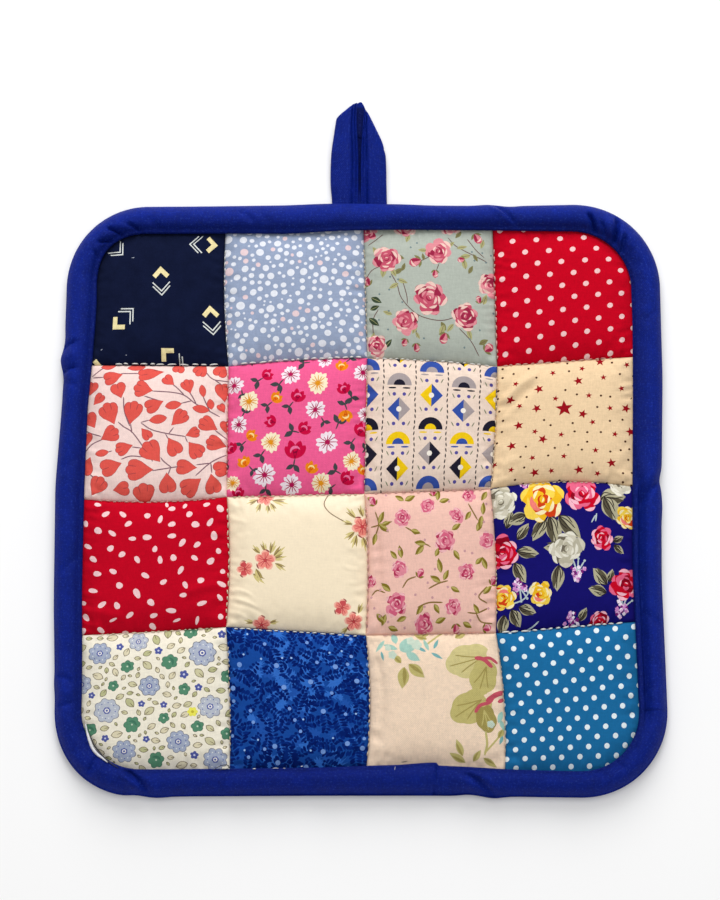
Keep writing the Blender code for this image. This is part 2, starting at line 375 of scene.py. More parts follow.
def fold_height(x, y, folds):
    """Height of the listed soft folds: each from x, y to x, y, how high and its half width, in mm."""
    total = np.zeros(x.shape)
    for x0, y0, x1, y1, rise, width in folds:
        length = math.hypot(x1 - x0, y1 - y0)
        ux, uy = (x1 - x0) / length, (y1 - y0) / length
        along = ((x - x0) * ux + (y - y0) * uy) / length
        aside = (x - x0) * -uy + (y - y0) * ux - 0.06 * length * np.sin(np.pi * np.clip(along, 0, 1))
        fade = np.clip(along * 4, 0, 1) * np.clip((1 - along) * 3, 0, 1)
        fade = fade * fade * (3 - 2 * fade)
        total += rise * fade * np.exp(-(aside / width) ** 2)
    return total


def pucker_height(x, y, column, row):
    """Height of the small creases that the stitches draw in the cloth, square to each seam."""
    total = np.zeros(x.shape)
    sides = ((x + HALF_SQUARE, y), (HALF_SQUARE - x, y), (y + HALF_SQUARE, x), (HALF_SQUARE - y, x))
    for side, (gap, run) in enumerate(sides):
        draw = random.Random(100 * column + 10 * row + side)
        wave = 0
        for _ in range(5):
            pitch, start, slant = draw.uniform(0.7, 2.5), draw.uniform(0, 6.3), draw.uniform(-0.3, 0.3)
            wave = wave + np.sin(pitch * (run + slant * gap) + start)
        drawn_in = 0.6 + 0.4 * np.sin(run * 0.17 + draw.uniform(0, 6.3))
        reach = np.maximum(gap, 0) / 1.7
        total += PUCKER * wave / 2.5 * drawn_in * reach * np.exp(1 - reach)
    return total


def cloth_surface(x, y, column, row, folds):
    """Places of points of a square's cloth, in metres."""
    a, b = column + 0.5 + x / SQUARE, row + 0.5 + y / SQUARE
    flat = plan(a, b)
    gap = seam_gap(x, y, column, row)
    height = pad_height(a, b) + fold_height(x, y, folds) * np.clip(gap / 3, 0, 1)
    height += pucker_height(x, y, column, row)
    height -= 1.1 * np.exp(-gap / 0.45)
    return np.column_stack([PAD_X + flat[:, 0] * MM, PAD_Y + flat[:, 1] * MM, height * MM])


def woven(material, coarse=0.28, depth=0.3, cloudy=0.06, rough=(0.72, 0.9), sheen=0.008, shine=0.012,
          fuzz=0.3, lint=0.0):
    """Plain weave over the cloth's own colour: threads, slubs and a slightly uneven dye."""
    material.use_nodes = True
    nodes, links = material.node_tree.nodes, material.node_tree.links
    shader = nodes["Principled BSDF"]
    shader.inputs["Specular IOR Level"].default_value = shine
    shader.inputs["Sheen Weight"].default_value = sheen
    shader.inputs["Sheen Roughness"].default_value = 0.6

    def node(kind, **settings):
        made = nodes.new("ShaderNode" + kind)
        for key, value in settings.items():
            if key in made.inputs:
                made.inputs[key].default_value = value
            else:
                setattr(made, key, value)
        return made

    def sum_of(operation, first, second):
        made = node("Math", operation=operation)
        for socket, value in zip(made.inputs, (first, second)):
            if isinstance(value, (int, float)):
                socket.default_value = value
            else:
                links.new(value, socket)
        return made.outputs[0]

    thread = node("UVMap", uv_map="threads").outputs[0]
    split = node("SeparateXYZ")
    links.new(thread, split.inputs[0])
    waves = []
    for axis in ("X", "Y"):
        turns = sum_of("MULTIPLY", split.outputs[axis], 20 * math.pi / coarse / 2)
        waves.append(sum_of("SINE", turns, 0))
    weave = sum_of("MULTIPLY", *waves)
    slubs = []
    for stretch in ((4.0, 19.0, 1.0), (19.0, 4.0, 1.0)):
        drawn = node("Mapping", Scale=stretch)
        links.new(thread, drawn.inputs["Vector"])
        slub = node("TexNoise", Scale=1.0, Detail=3.0, Roughness=0.7)
        links.new(drawn.outputs[0], slub.inputs["Vector"])
        slubs.append(slub.outputs["Fac"])
    fibre = sum_of("MULTIPLY", sum_of("ADD", *slubs), 0.5)
    cloud = node("TexNoise", Scale=1.6, Detail=3.0, Roughness=0.55)
    links.new(thread, cloud.inputs["Vector"])
    relief = sum_of("ADD", sum_of("MULTIPLY", weave, 0.25), fibre)
    bump = node("Bump", Strength=depth, Distance=0.0006)
    links.new(relief, bump.inputs["Height"])
    links.new(bump.outputs[0], shader.inputs["Normal"])
    uneven = sum_of("MULTIPLY", sum_of("SUBTRACT", cloud.outputs["Fac"], 0.5), 2 * cloudy)
    grain = sum_of("MULTIPLY", sum_of("SUBTRACT", fibre, 0.5), 2 * fuzz)
    shade = sum_of("ADD", sum_of("ADD", uneven, grain), sum_of("MULTIPLY", weave, 0.04))
    if lint:
        bits = node("TexNoise", Scale=14.0, Detail=2.0, Roughness=0.6)
        links.new(thread, bits.inputs["Vector"])
        specks = node("MapRange")
        specks.inputs["From Min"].default_value, specks.inputs["From Max"].default_value = 0.55, 0.78
        specks.inputs["To Max"].default_value = lint
        links.new(bits.outputs["Fac"], specks.inputs["Value"])
    dye = node("Attribute", attribute_name="dye")
    tone = node("VectorMath", operation="SCALE")
    links.new(dye.outputs["Color"], tone.inputs[0])
    links.new(sum_of("ADD", shade, 1.0), tone.inputs["Scale"])
    colour = tone.outputs[0]
    if lint:
        dust = node("VectorMath", operation="SCALE")
        dust.inputs[0].default_value = (0.15, 0.3, 1.0)
        links.new(specks.outputs[0], dust.inputs["Scale"])
        dusty = node("VectorMath", operation="ADD")
        links.new(colour, dusty.inputs[0])
        links.new(dust.outputs[0], dusty.inputs[1])
        colour = dusty.outputs[0]
    links.new(colour, shader.inputs["Base Color"])
    dull = node("MapRange")
    dull.inputs["To Min"].default_value, dull.inputs["To Max"].default_value = rough
    links.new(cloud.outputs["Fac"], dull.inputs["Value"])
    links.new(dull.outputs[0], shader.inputs["Roughness"])
    return material


def dress(mesh, threads, dyes, material, corners):
    """Give a mesh its thread directions, its dye and its material; corners says which dye each corner has."""
    layer = mesh.uv_layers.new(name="threads")
    layer.data.foreach_set("uv", np.asarray(threads, np.float32).ravel())
    colour = mesh.color_attributes.new("dye", "FLOAT_COLOR", "CORNER")
    shades = np.ones((len(corners), 4), np.float32)
    shades[:, :3] = np.asarray(dyes)[corners]
    colour.data.foreach_set("color", shades.ravel())
    mesh.materials.append(material)
    mesh.shade_smooth()


def sew_square(name, column, row, ground, prints, finish=None, grain=0.0, folds=()):
    """Cut, print, puff up and sew in one square; prints is a list of (shape, colour), the last on top."""
    outline = square_outline(column, row)
    shapes = [shape for shape, _ in prints]
    flat, kept, sources = cut_out(outline, shapes, relief_points(column, row, CLOTH_STEP))
    top = cloth_surface(flat[:, 0], flat[:, 1], column, row, folds)
    below_flat, below_kept, below_sources = cut_out(outline, [], relief_points(column, row, UNDERSIDE_STEP))
    below = cloth_surface(below_flat[:, 0], below_flat[:, 1], column, row, folds)
    below[:, 2] -= CLOTH_THICKNESS * MM

    faces = [list(face) for face, _ in kept]
    owners = [owner for _, owner in kept]
    count = len(top)
    faces += [[count + i for i in reversed(face)] for face, _ in below_kept]
    owners += [0] * len(below_kept)
    rim_uses = {}
    for face, _ in kept:
        for i, j in zip(face, face[1:] + face[:1]):
            rim_uses[(i, j)] = rim_uses.get((i, j), 0) + 1
    rim = {i: j for i, j in rim_uses if (j, i) not in rim_uses}
    at_edge = {}
    for number, origin in enumerate(below_sources):
        for source in origin:
            if source < len(outline):
                at_edge[source] = count + number
    under = {}
    for number, origin in enumerate(sources):
        for source in origin:
            if source < len(outline):
                under[number] = at_edge[source]
    for start in under:
        strip, here = [start], rim[start]
        while here not in under:
            strip.append(here)
            here = rim[here]
        faces.append([here] + strip[::-1] + [under[start], under[here]])
        owners.append(0)

    mesh = bpy.data.meshes.new(name)
    mesh.from_pydata(np.vstack([top, below]).tolist(), [], faces)
    corners = np.concatenate([[owner] * len(face) for face, owner in zip(faces, owners)]).astype(int)
    spots = np.vstack([flat, below_flat])[np.concatenate(faces).astype(int)] / 10
    cos, sin = math.cos(math.radians(grain)), math.sin(math.radians(grain))
    threads = spots @ np.array([[cos, -sin], [sin, cos]]) + (column * 7, row * 7)
    dyes = [linear(ground)] + [linear(colour) for _, colour in prints]
    material = woven(bpy.data.materials.new(name + "_cotton"), **(finish or {}))
    dress(mesh, threads, dyes, material, corners)
    mesh.set_sharp_from_angle(angle=math.radians(60))
    piece = bpy.data.objects.new(name, mesh)
    bpy.context.scene.collection.objects.link(piece)
    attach(piece, "root")
    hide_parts("quilted_pad")
    return piece


CHEVRON_CREAM, CHEVRON_WHITE = (252, 236, 178), (226, 230, 226)
# x and y of each pair's middle in mm from the square's middle, and the way its thick chevron points
CHEVRON_PAIRS = (
    (-17.6, 19.0, 135), (0.5, 6, 93), (16.2, 19.0, 0), (18.7, -7.5, 95), (-13.5, -8, 225), (4, -21.3, 135),
    (-23.9, -24.6, 0),
)
chevrons = []
for x, y, turn in CHEVRON_PAIRS:
    ahead = (math.cos(math.radians(turn)), math.sin(math.radians(turn)))
    chevrons.append((chevron(x + 3.3 * ahead[0], y + 3.3 * ahead[1], turn, 4.4, 1.6), CHEVRON_CREAM))
    for back in (2.6, 4.0):
        spot = (x - back * ahead[0], y - back * ahead[1])
        chevrons.append((chevron(*spot, turn + 180, 4.7, 0.42), CHEVRON_WHITE))
# three flecks of lint
for x, y, length, turn in ((-20.9, -18.6, 0.7, 30), (-12.1, -20.3, 0.6, 0), (-10.7, 13.9, 1.1, 4)):
    chevrons.append((moved([(0, 0), (length, -0.16), (length * 1.1, 0.05), (length, 0.2)], x, y, turn),
                     (170, 176, 190)))
sew_square("navy_chevron_square", 0, 3, (19, 26, 54), chevrons, dict(cloudy=0.35), 2)


# ==== Grey-blue square with snow dots, second in the top row
# Plain-woven cotton dyed grey-blue, with off-white dots of many sizes thrown loosely over it.
def disc(x, y, radius, squash=1.0, turn=0.0):
    """A round or oval dot about x, y."""
    count = max(8, round(7 + 6 * radius))
    angles = [2 * math.pi * k / count for k in range(count)]
    return moved([(radius * math.cos(t), radius * squash * math.sin(t)) for t in angles], x, y, turn)


def scattered(draw, sizes, spacing, taken=(), reach=25.0, tries=400):
    """Places for round marks of the given sizes, none closer to another than spacing."""
    placed = list(taken)
    found = []
    for size in sizes:
        for _ in range(tries):
            x, y = draw.uniform(-reach, reach), draw.uniform(-reach, reach)
            if all(math.hypot(x - px, y - py) > size + radius + spacing for px, py, radius in placed):
                placed.append((x, y, size))
                found.append((x, y, size))
                break
    return found


draw = random.Random(12)
SNOW_SIZES = [1.4] * 18 + [1.16] * 66 + [0.92] * 120 + [0.66] * 90 + [0.4] * 30
snow = []
for x, y, size in scattered(draw, SNOW_SIZES, 0.5, reach=25.5):
    tone = (240, 214, 218) if draw.random() < 0.12 else (238, 241, 250)
    snow.append((disc(x, y, size * draw.uniform(0.88, 1.08), draw.uniform(0.88, 1.0), draw.uniform(0, 180)),
                 tone))
sew_square("snow_dot_square", 1, 3, (158, 172, 200), snow, grain=-2)


# ==== Sage square with climbing roses, third in the top row
# Grey-green cotton printed with pink roses and buds on brown twigs with olive leaves.
def scalloped(x, y, radius, lobes, depth, turn=0.0, squash=1.0):
    """A round shape with rounded lobes and sharp notches between them."""
    count = lobes * max(4, round(radius * 9 / lobes))
    ring = []
    for k in range(count):
        t = 2 * math.pi * k / count
        reach = radius * (1 - depth * (1 - abs(math.cos(lobes * t / 2))))
        ring.append((reach * math.cos(t), reach * squash * math.sin(t)))
    return moved(ring, x, y, turn)


def leaf(x, y, turn, length, width, blunt=0.0, bend=0.0):
    """A leaf from its stalk at x, y along turn; blunt rounds its far end off."""
    count = max(5, round(length * 1.8))
    sides = ([], [])
    for k in range(1, count):
        t = k / count
        half = width / 2 * ((1 - blunt) * math.sin(math.pi * t ** 0.85)
                            + blunt * 2 * math.sqrt(t * (1 - t)) * t ** 0.4)
        curve = bend * length * t * (1 - t)
        sides[0].append((t * length, curve - half))
        sides[1].append((t * length, curve + half))
    return moved([(0, 0)] + sides[0] + [(length, 0)] + sides[1][::-1], x, y, turn)


def crescent(x, y, radius, thickness, bearing, span):
    """A curved petal rim about x, y, thick in its middle and pointed at both ends."""
    count = max(4, round(radius * math.radians(span) * 2.2))
    angles = [math.radians(bearing - span / 2 + span * k / count) for k in range(count + 1)]
    outer = [(x + radius * math.cos(t), y + radius * math.sin(t)) for t in angles]
    inner = []
    for k in range(count - 1, 0, -1):
        reach = radius - thickness * math.sin(math.pi * k / count) ** 0.7
        inner.append((x + reach * math.cos(angles[k]), y + reach * math.sin(angles[k])))
    return outer + inner


def strand(points, width):
    """A drawn line of the given width through a few points, tapering at its ends."""
    points = [np.array(p, float) for p in points]
    ends = [2 * points[0] - points[1]] + points + [2 * points[-1] - points[-2]]
    line = []
    for before, here, ahead, after in zip(ends, ends[1:], ends[2:], ends[3:]):
        count = max(2, round(float(np.linalg.norm(ahead - here)) / 0.9))
        for step in range(count):
            t = step / count
            line.append(0.5 * (2 * here + (ahead - before) * t
                               + (2 * before - 5 * here + 4 * ahead - after) * t ** 2
                               + (3 * here - before - 3 * ahead + after) * t ** 3))
    line.append(points[-1])
    left, right = [], []
    for k, spot in enumerate(line):
        along = line[min(k + 1, len(line) - 1)] - line[max(k - 1, 0)]
        along = along / max(float(np.linalg.norm(along)), 1e-9)
        half = width / 2 * (0.55 if k in (0, len(line) - 1) else 1)
        left.append((float(spot[0] - along[1] * half), float(spot[1] + along[0] * half)))
        right.append((float(spot[0] + along[1] * half), float(spot[1] - along[0] * half)))
    return right + left[::-1]


def rose(x, y, radius, turn, tones):
    """A full rose: three rounds of petals, each pale at its rim and dark at its foot, and a curled heart."""
    dark, mid, light, pale = tones
    draw = random.Random(round(97 * x + 31 * y))
    parts = []
    for count, out, size in ((7, 0.6, 0.44), (5, 0.38, 0.38), (4, 0.2, 0.26)):
        for k in range(count):
            bearing = turn + 61 * out * radius + 360 * (k + draw.uniform(-0.25, 0.25)) / count
            reach, span = radius * out * draw.uniform(0.85, 1.15), radius * size * draw.uniform(0.85, 1.15)
            px, py = x + reach * math.cos(math.radians(bearing)), y + reach * math.sin(math.radians(bearing))
            lobes = draw.choice((3, 4, 5))
            parts.append((scalloped(px, py, span, lobes, 0.16, bearing, 0.9),
                          draw.choice((mid, light, mid, dark))))
            parts.append((crescent(px, py, span * 0.94, span * 0.5, bearing + draw.uniform(-30, 30), 120),
                          draw.choice((pale, pale, light))))
            back = bearing + 180 + draw.uniform(-30, 30)
            parts.append((crescent(px, py, span * 0.8, span * 0.34, back, 130), dark))
    parts.append((disc(x, y, radius * 0.17), mid))
    parts.append((crescent(x, y, radius * 0.2, radius * 0.1, turn + 160, 200), dark))
    parts.append((crescent(x, y, radius * 0.12, radius * 0.08, turn - 40, 150), pale))
    return parts


def bud(x, y, size, turn, tones, green):
    """A closed rose bud that opens towards turn, in its green cup."""
    dark, mid, light, pale = tones
    back = (x - size * 0.9 * math.cos(math.radians(turn)), y - size * 0.9 * math.sin(math.radians(turn)))
    parts = [(leaf(*back, turn + off, size * 1.3, size * 0.5), green) for off in (55, -55)]
    parts.append((leaf(*back, turn, size * 2, size * 1.7, 0.8), mid))
    parts.append((leaf(*back, turn + 14, size * 1.8, size * 0.7, 0.6), light))
    parts.append((leaf(*back, turn - 18, size * 1.7, size * 0.55, 0.5), dark))
    parts.append((crescent(x, y, size * 0.75, size * 0.3, turn + 20, 120), pale))
    return parts


def veined_leaf(x, y, turn, length, width, green, vein):
    far = math.radians(turn)
    tip = (x + 0.85 * length * math.cos(far), y + 0.85 * length * math.sin(far))
    return [(leaf(x, y, turn, length, width), green), (strand([(x, y), tip], 0.16), vein)]


PINK_TONES = ((164, 44, 76), (206, 88, 112), (232, 146, 156), (246, 208, 196))
SAGE_OLIVE, SAGE_LIGHT_OLIVE = (134, 132, 84), (178, 176, 122)
SAGE_TWIG, SAGE_DEEP = (112, 84, 80), (64, 78, 58)
SAGE_TWIGS = (
    ((-23.5, 5), (-21, 8.5), (-17.5, 10)), ((-14, 7), (-12, 3), (-10.5, -2), (-6, -7), (-1.5, -9),
                                            (4, -9.5), (9, -8)),
    ((-10, 4.5), (-8.6, -1), (-8.5, -4)), ((-4.5, -8), (-5.5, -12.5), (-5.5, -16)),
    ((7, 20.5), (9.5, 17.5), (14, 15), (21, 12)), ((14, 20), (17, 16), (20, 13.5)),
    ((-22, 18), (-19, 20), (-16.5, 22)), ((10, -12), (14, -16), (17, -21)),
    ((3, 15), (-1.5, 12.5), (-4, 11.5)), ((-19, -6), (-21, -10), (-21, -17)), ((3.5, 11), (2.5, 8.5)),
)
# x, y, the way the leaf points, length and width
SAGE_LEAVES = (
    (-13, 7, 30, 4, 1.8), (-12, 5, -20, 4.2, 1.6), (-11.5, 3.5, 210, 4, 1.7), (-10, 8, 70, 3.2, 1.4),
    (-16.5, 9.5, 260, 4, 2.2), (-14, 9, 300, 3.6, 1.8), (-12.5, 13.5, -15, 3.6, 1.8),
    (-18.5, 14, 120, 3.8, 1.8), (-.5, 15.5, 175, 3.6, 1.5), (-2, 12, 100, 2.6, 1.2), (7, 17, 40, 3, 1.3),
    (13, 9, 100, 4, 2), (14, 7.5, 60, 3.4, 1.5), (10, 16.5, 10, 4, 1.4), (15, 14, 190, 4.2, 1.8),
    (16, 14.5, 300, 3, 1.4), (-5.5, -11, 250, 4.2, 1.8), (-5.8, -14, 300, 3, 1.3),
    (3.5, -10, 300, 3.6, 1.7), (4.5, -11, 250, 4.5, 2), (8, -10.5, 230, 4, 1.6), (-13, -12, 330, 3.6, 1.6),
    (-14, -8, 160, 3.6, 1.6), (13, -12, 290, 4, 1.8), (17, -17, 30, 4, 1.8), (-22, -18, 70, 4, 1.5),
    (-7, 22, 250, 3.6, 1.8), (12, 23, 230, 3.6, 1.6), (20, 20, 250, 3.6, 1.6), (19, -3, 70, 4, 1.8),
)
SAGE_DEEP_LEAVES = ((-21.5, -1.5, 330, 4.4, 2.2), (-22, -6, 20, 3.6, 1.8), (-22.5, -9, 320, 4.8, 2.2),
                    (-17, -20, 50, 4, 1.8))
SAGE_ROSES = (
    (3.3, 15.4, 4.3, 20), (-0.5, -1.6, 5.4, 75), (-15.5, 12.6, 4.3, 130), (-9.5, -10.3, 4.2, 10),
    (12.5, -7.6, 4.3, 200), (21.8, 4.2, 4.0, 60), (-20, -19.4, 3.6, 100), (-8, 25.2, 4.0, 40),
    (8, 25.4, 3.4, 80), (-22.5, 23.5, 3.6, 220),
)
SAGE_BUDS = (
    (-5, 11.4, 2.3, 200), (1.9, 7.2, 1.5, 270), (17.6, 20.5, 2.1, 300), (-22.8, 4.5, 1.9, 120),
    (-9.8, -17.8, 1.5, 250), (-5.6, -19.4, 1.6, 280), (4.4, -15.6, 2.1, 250), (11.6, 12.4, 1.4, 190),
    (20.4, -18, 2.0, 40), (17.5, -1.5, 1.4, 100),
)
climbing = [(strand(line, 0.32), SAGE_TWIG) for line in SAGE_TWIGS]
for number, spot in enumerate(SAGE_LEAVES):
    climbing += veined_leaf(*spot, SAGE_LIGHT_OLIVE if number % 3 else SAGE_OLIVE, SAGE_TWIG)
for spot in SAGE_DEEP_LEAVES:
    climbing += veined_leaf(*spot, SAGE_DEEP, SAGE_LIGHT_OLIVE)
for x, y, size, turn in SAGE_BUDS:
    climbing += bud(x, y, size, turn, PINK_TONES, SAGE_OLIVE)
for x, y, size, turn in SAGE_ROSES:
    climbing += rose(x, y, 1.12 * size, turn, PINK_TONES)
draw = random.Random(13)
roses_taken = [(x, y, size) for x, y, size, _ in SAGE_ROSES + SAGE_BUDS]
for x, y, size in scattered(draw, [0.38] * 26, 1.8, roses_taken):
    climbing.append((disc(x, y, size), (122, 140, 142)))
sew_square("sage_rose_square", 2, 3, (184, 191, 180), climbing, grain=1)


# ==== Red square with pale dots, top right
# Bright red cotton with round pinkish-white dots on a slanting lattice.
def dot_lattice(first, second, start, radius, colour, squash, turn):
    """Dots at whole steps of two lattice directions over a square."""
    dots = []
    for i in range(-12, 13):
        for j in range(-12, 13):
            x = start[0] + i * first[0] + j * second[0]
            y = start[1] + i * first[1] + j * second[1]
            if max(abs(x), abs(y)) < 29:
                dots.append((disc(x, y, radius, squash, turn), colour))
    return dots


red_dots = dot_lattice((4.1, -4.1), (4.0, 4.6), (3.5, -1), 1.04, (252, 206, 206), 0.88, 35)
sew_square("red_dot_square", 3, 3, (205, 6, 34), red_dots, grain=-4)


# ==== Cream square with coral leaves, left in the second row
# Pale cotton printed with heart-shaped coral leaves strung along thin grey-mauve stems.
CORAL, CORAL_EDGE, CORAL_STEM = (234, 92, 82), (180, 72, 76), (136, 98, 110)


def heart_leaf(x, y, turn, length, width, lobes, grown):
    """A leaf about x, y: pointed at its stalk, with round lobes at the end that turn looks to."""
    length, width = length + 2 * grown, width + 2 * grown
    far = length / 2
    if lobes == 1:
        foot = moved([(-far, 0)], x, y, turn)[0]
        return [leaf(*foot, turn, length, width, 0.5)]
    lobe = width * (0.3 if lobes == 2 else 0.23)
    side = width / 2 - lobe
    shoulder = far - lobe * (1.0 if lobes == 2 else 1.5)
    half = [(-far, 0), (-0.3 * length, 0.17 * width), (-0.08 * length, 0.39 * width),
            (0.12 * length, 0.5 * width)]
    body = half + [(shoulder, width / 2), (shoulder + lobe * 0.5, 0)]
    body += [(along, -aside) for along, aside in [(shoulder, width / 2)] + half[:0:-1]]
    parts = [moved(body, x, y, turn)]
    for middle in [(shoulder, side), (shoulder, -side)] + [(far - lobe, 0)] * (lobes == 3):
        at = moved([middle], x, y, turn)[0]
        parts.append(disc(*at, lobe))
    return parts


# x, y, the way the lobes look, length, width and number of lobes
CORAL_LEAVES = (
    (-15.5, 18.8, 200, 6.3, 4.5, 2), (-2.7, 20.2, 190, 8.6, 4.0, 2), (3.5, 17.5, 140, 4.4, 3.6, 2),
    (10, 15.5, 110, 5.2, 4.4, 3), (15, 13.9, 100, 4.4, 2.4, 1), (-5.1, 14.5, 170, 6.4, 5.8, 3),
    (-13.3, 13.9, 110, 5.4, 5, 2), (-20.2, 10.9, 50, 4.4, 3.2, 2), (-22.8, 14.9, 80, 4.5, 4.2, 2),
    (-1, 8.9, 205, 6.2, 4.6, 2), (5.3, 8.8, 190, 5.4, 3.2, 1), (-15.9, 5.9, 115, 8, 6.4, 3),
    (-8.3, 6.2, 80, 8, 6, 3), (-22.2, 3.6, 120, 5.6, 4.6, 2), (14.6, 7.4, 170, 5.6, 3, 1),
    (17.8, 9.2, 100, 3.6, 2.6, 1), (21.9, 13.5, 100, 6.4, 4.8, 2), (21.6, 7.9, 120, 3.2, 2.6, 2),
    (0.3, 3.9, 10, 5.8, 3.4, 1), (7.3, 4.2, 45, 6.8, 5, 3), (17.2, 1.9, 150, 6.8, 5.2, 3),
    (-3.6, -1, 310, 4.4, 3.2, 2), (12, -1, 20, 4.8, 3.6, 3), (-15.6, -1.4, 30, 6.4, 5.6, 3),
    (5.6, -5.4, 300, 6.4, 5, 2), (12.9, -6.7, 310, 6.6, 5.4, 3), (19.9, -4.7, 165, 6.8, 5.2, 3),
    (-10.6, -6, 200, 5.8, 4.4, 3), (-1.3, -7.4, 130, 8.4, 7, 3), (-17.9, -7.7, 190, 4.4, 2.6, 1),
    (-14.6, -12.3, 200, 7, 5.6, 2), (-5.3, -13.3, 180, 9, 6.8, 3), (10.3, -12.7, 175, 6.6, 4.8, 2),
    (-22.9, -12, 250, 6.2, 4.8, 2), (-19.2, -19, 60, 7, 5.6, 3), (-11.3, -19.6, 10, 5.2, 4.4, 2),
    (4, -17.6, 275, 6.4, 5.4, 2), (11.9, -19, 215, 7.6, 6.2, 3), (18.9, -18.6, 280, 6.6, 5, 2),
    (-3.6, -21.4, 100, 7.4, 7, 3), (22.4, -13.3, 200, 6.2, 5.2, 2), (6.6, 22.8, 260, 4.2, 4, 2),
    (14.3, 22, 240, 5.8, 4.8, 3), (21, 22, 250, 5.2, 4.6, 2), (-17.6, 23, 10, 5, 3, 1),
    (-8, 22.6, 5, 6, 2.8, 1), (-23.5, -3, 90, 4.6, 4, 2), (23.3, 1, 100, 5, 4, 2),
)
CORAL_STEMS = (
    ((20.9, 4.9), (17.6, 6.6), (12.9, 9.2), (9, 12.2), (5, 13.3), (-2, 13.8)),
    ((9, 12.2), (6.5, 14.8), (4.6, 16.4)), ((13, 9.2), (11.5, 12), (10.4, 13.6)),
    ((17.6, 6.6), (15.8, 10.5), (15.2, 12)), ((9.8, -2.2), (3.6, -1.1), (-1.7, 0.3), (-5.3, 2.6)),
    ((4, -1.2), (5.6, 1)), ((9.6, -2.4), (10.4, -4.2)), ((3, -1.2), (4, -3)), ((-5.4, 2.8), (-2.5, 3.6)),
    ((-1, -10.5), (-4, -6), (-8, -0.7), (-11, 1.3), (-13, 3)), ((-8.2, -0.8), (-8.8, 2.4)),
    ((-24.2, -8), (-21.6, -4.7), (-18, -3)), ((-24.9, 0.9), (-22.2, -0.7), (-18.4, -2)),
    ((-1, -13.6), (5.3, -12.7), (8, -12.4)), ((5.3, -12.7), (2.6, -10.5), (1.6, -9.2)),
    ((5, -12.8), (4.2, -15)), ((-11.4, -9.8), (-8.3, -8.7), (-4.4, -9)), ((-8, -5.6), (-5, -6)),
    ((-14.6, -7), (-16, -7.4)), ((13.3, -15.7), (18.2, -11.4), (23.2, -8.7)), ((18.2, -11.4), (18.6, -15)),
    ((13.5, -12), (18, -11.6)), ((-22.9, 19.2), (-19.6, 22), (-17.6, 22.6)), ((-22.6, 18.8), (-19, 18.8)),
    ((-13, 20.2), (-7, 20.2)), ((15.6, 21.2), (18.6, 18.2), (24, 17.8)), ((19, 18), (21.4, 16.4)),
    ((-11.6, 11.6), (-11, 6.6), (-9, 1.5)), ((19.4, 0), (22, -2), (24, -3.4)), ((-20, -16.4), (-22, -14.8)),
    ((-4.6, 12), (-1.6, 11), (1.4, 10)), ((7.8, 9.4), (11.6, 10.4)),
)
coral = [(strand(line, 0.4), CORAL_STEM) for line in CORAL_STEMS]
for spot in CORAL_LEAVES:
    coral += [(lobe, CORAL_EDGE) for lobe in heart_leaf(*spot, 0.17)]
    coral += [(lobe, CORAL) for lobe in heart_leaf(*spot, 0.0)]
    x, y, turn, length, width, lobes = spot
    for off in {1: (), 2: (0,), 3: (-0.17, 0.17)}[lobes]:
        crease = [(length * 0.12, off * width), (length * 0.42, off * width * 1.3)]
        coral.append((strand(moved(crease, x, y, turn), 0.26), CORAL_EDGE))
sew_square("coral_leaf_square", 0, 2, (255, 226, 219), coral, grain=3)


# ==== Pink square with meadow flowers, second in the second row
# Hot pink cotton thickly printed with small white, cream, crimson and orange flowers on grey leaves.
MEADOW_LEAF = (70, 72, 76)
CRIMSON, MEADOW_ORANGE = (206, 14, 66), (244, 138, 24)
MEADOW_CREAM, MEADOW_WHITE = (255, 240, 206), (252, 236, 244)


def rayed_flower(x, y, radius, turn, petals, heart, count=6):
    """Ragged forked petals round a small heart, with fine rays down each."""
    radius = radius * 1.14
    draw = random.Random(round(71 * x + 13 * y))
    parts = []
    for k in range(count):
        bearing = turn + 360 * (k + draw.uniform(-0.14, 0.14)) / count
        reach = radius * draw.uniform(0.86, 1.1)
        for fork in (-13, 13):
            parts.append((leaf(x, y, bearing + fork, reach * draw.uniform(0.9, 1.04), radius * 0.52, 0.75),
                          petals))
    for k in range(count * 2):
        far = math.radians(turn + 180 * (k + draw.uniform(-0.2, 0.2)) / count)
        tip = radius * draw.uniform(0.5, 0.82)
        parts.append((strand([(x, y), (x + tip * math.cos(far), y + tip * math.sin(far))], 0.3), heart))
    parts.append((scalloped(x, y, radius * 0.24, 5, 0.2, turn), heart))
    return parts


def sprig(x, y, turn, length, green):
    """A short curved stalk with two leaves."""
    t = math.radians(turn)
    middle = (x + 0.5 * length * math.cos(t), y + 0.5 * length * math.sin(t))
    tip = (x + length * math.cos(t + 0.2), y + length * math.sin(t + 0.2))
    return [
        (strand([(x, y), middle, tip], 0.5), green),
        (leaf(*middle, turn + 46, length * 0.8, length * 0.42), green),
        (leaf(*middle, turn - 52, length * 0.74, length * 0.38), green),
    ]


def tulip(x, y, size, turn, colour, lit, deep):
    """A cupped flower seen from the side, opening towards turn."""
    size = size * 1.12
    t = math.radians(turn)
    foot = (x - size * 0.8 * math.cos(t), y - size * 0.8 * math.sin(t))
    parts = [(leaf(*foot, turn + off, size * reach, size * 0.95, 0.55), colour)
             for off, reach in ((38, 1.6), (-38, 1.65), (16, 1.95), (-16, 1.85))]
    parts += [(strand([foot, moved([(size * 0.7, 0)], x, y, turn + off)[0]], 0.24), deep)
              for off in (30, -30)]
    parts.append((crescent(x, y, size * 0.5, size * 0.3, turn + 20, 200), lit))
    parts.append((crescent(x, y, size * 0.26, size * 0.2, turn + 200, 180), deep))
    return parts


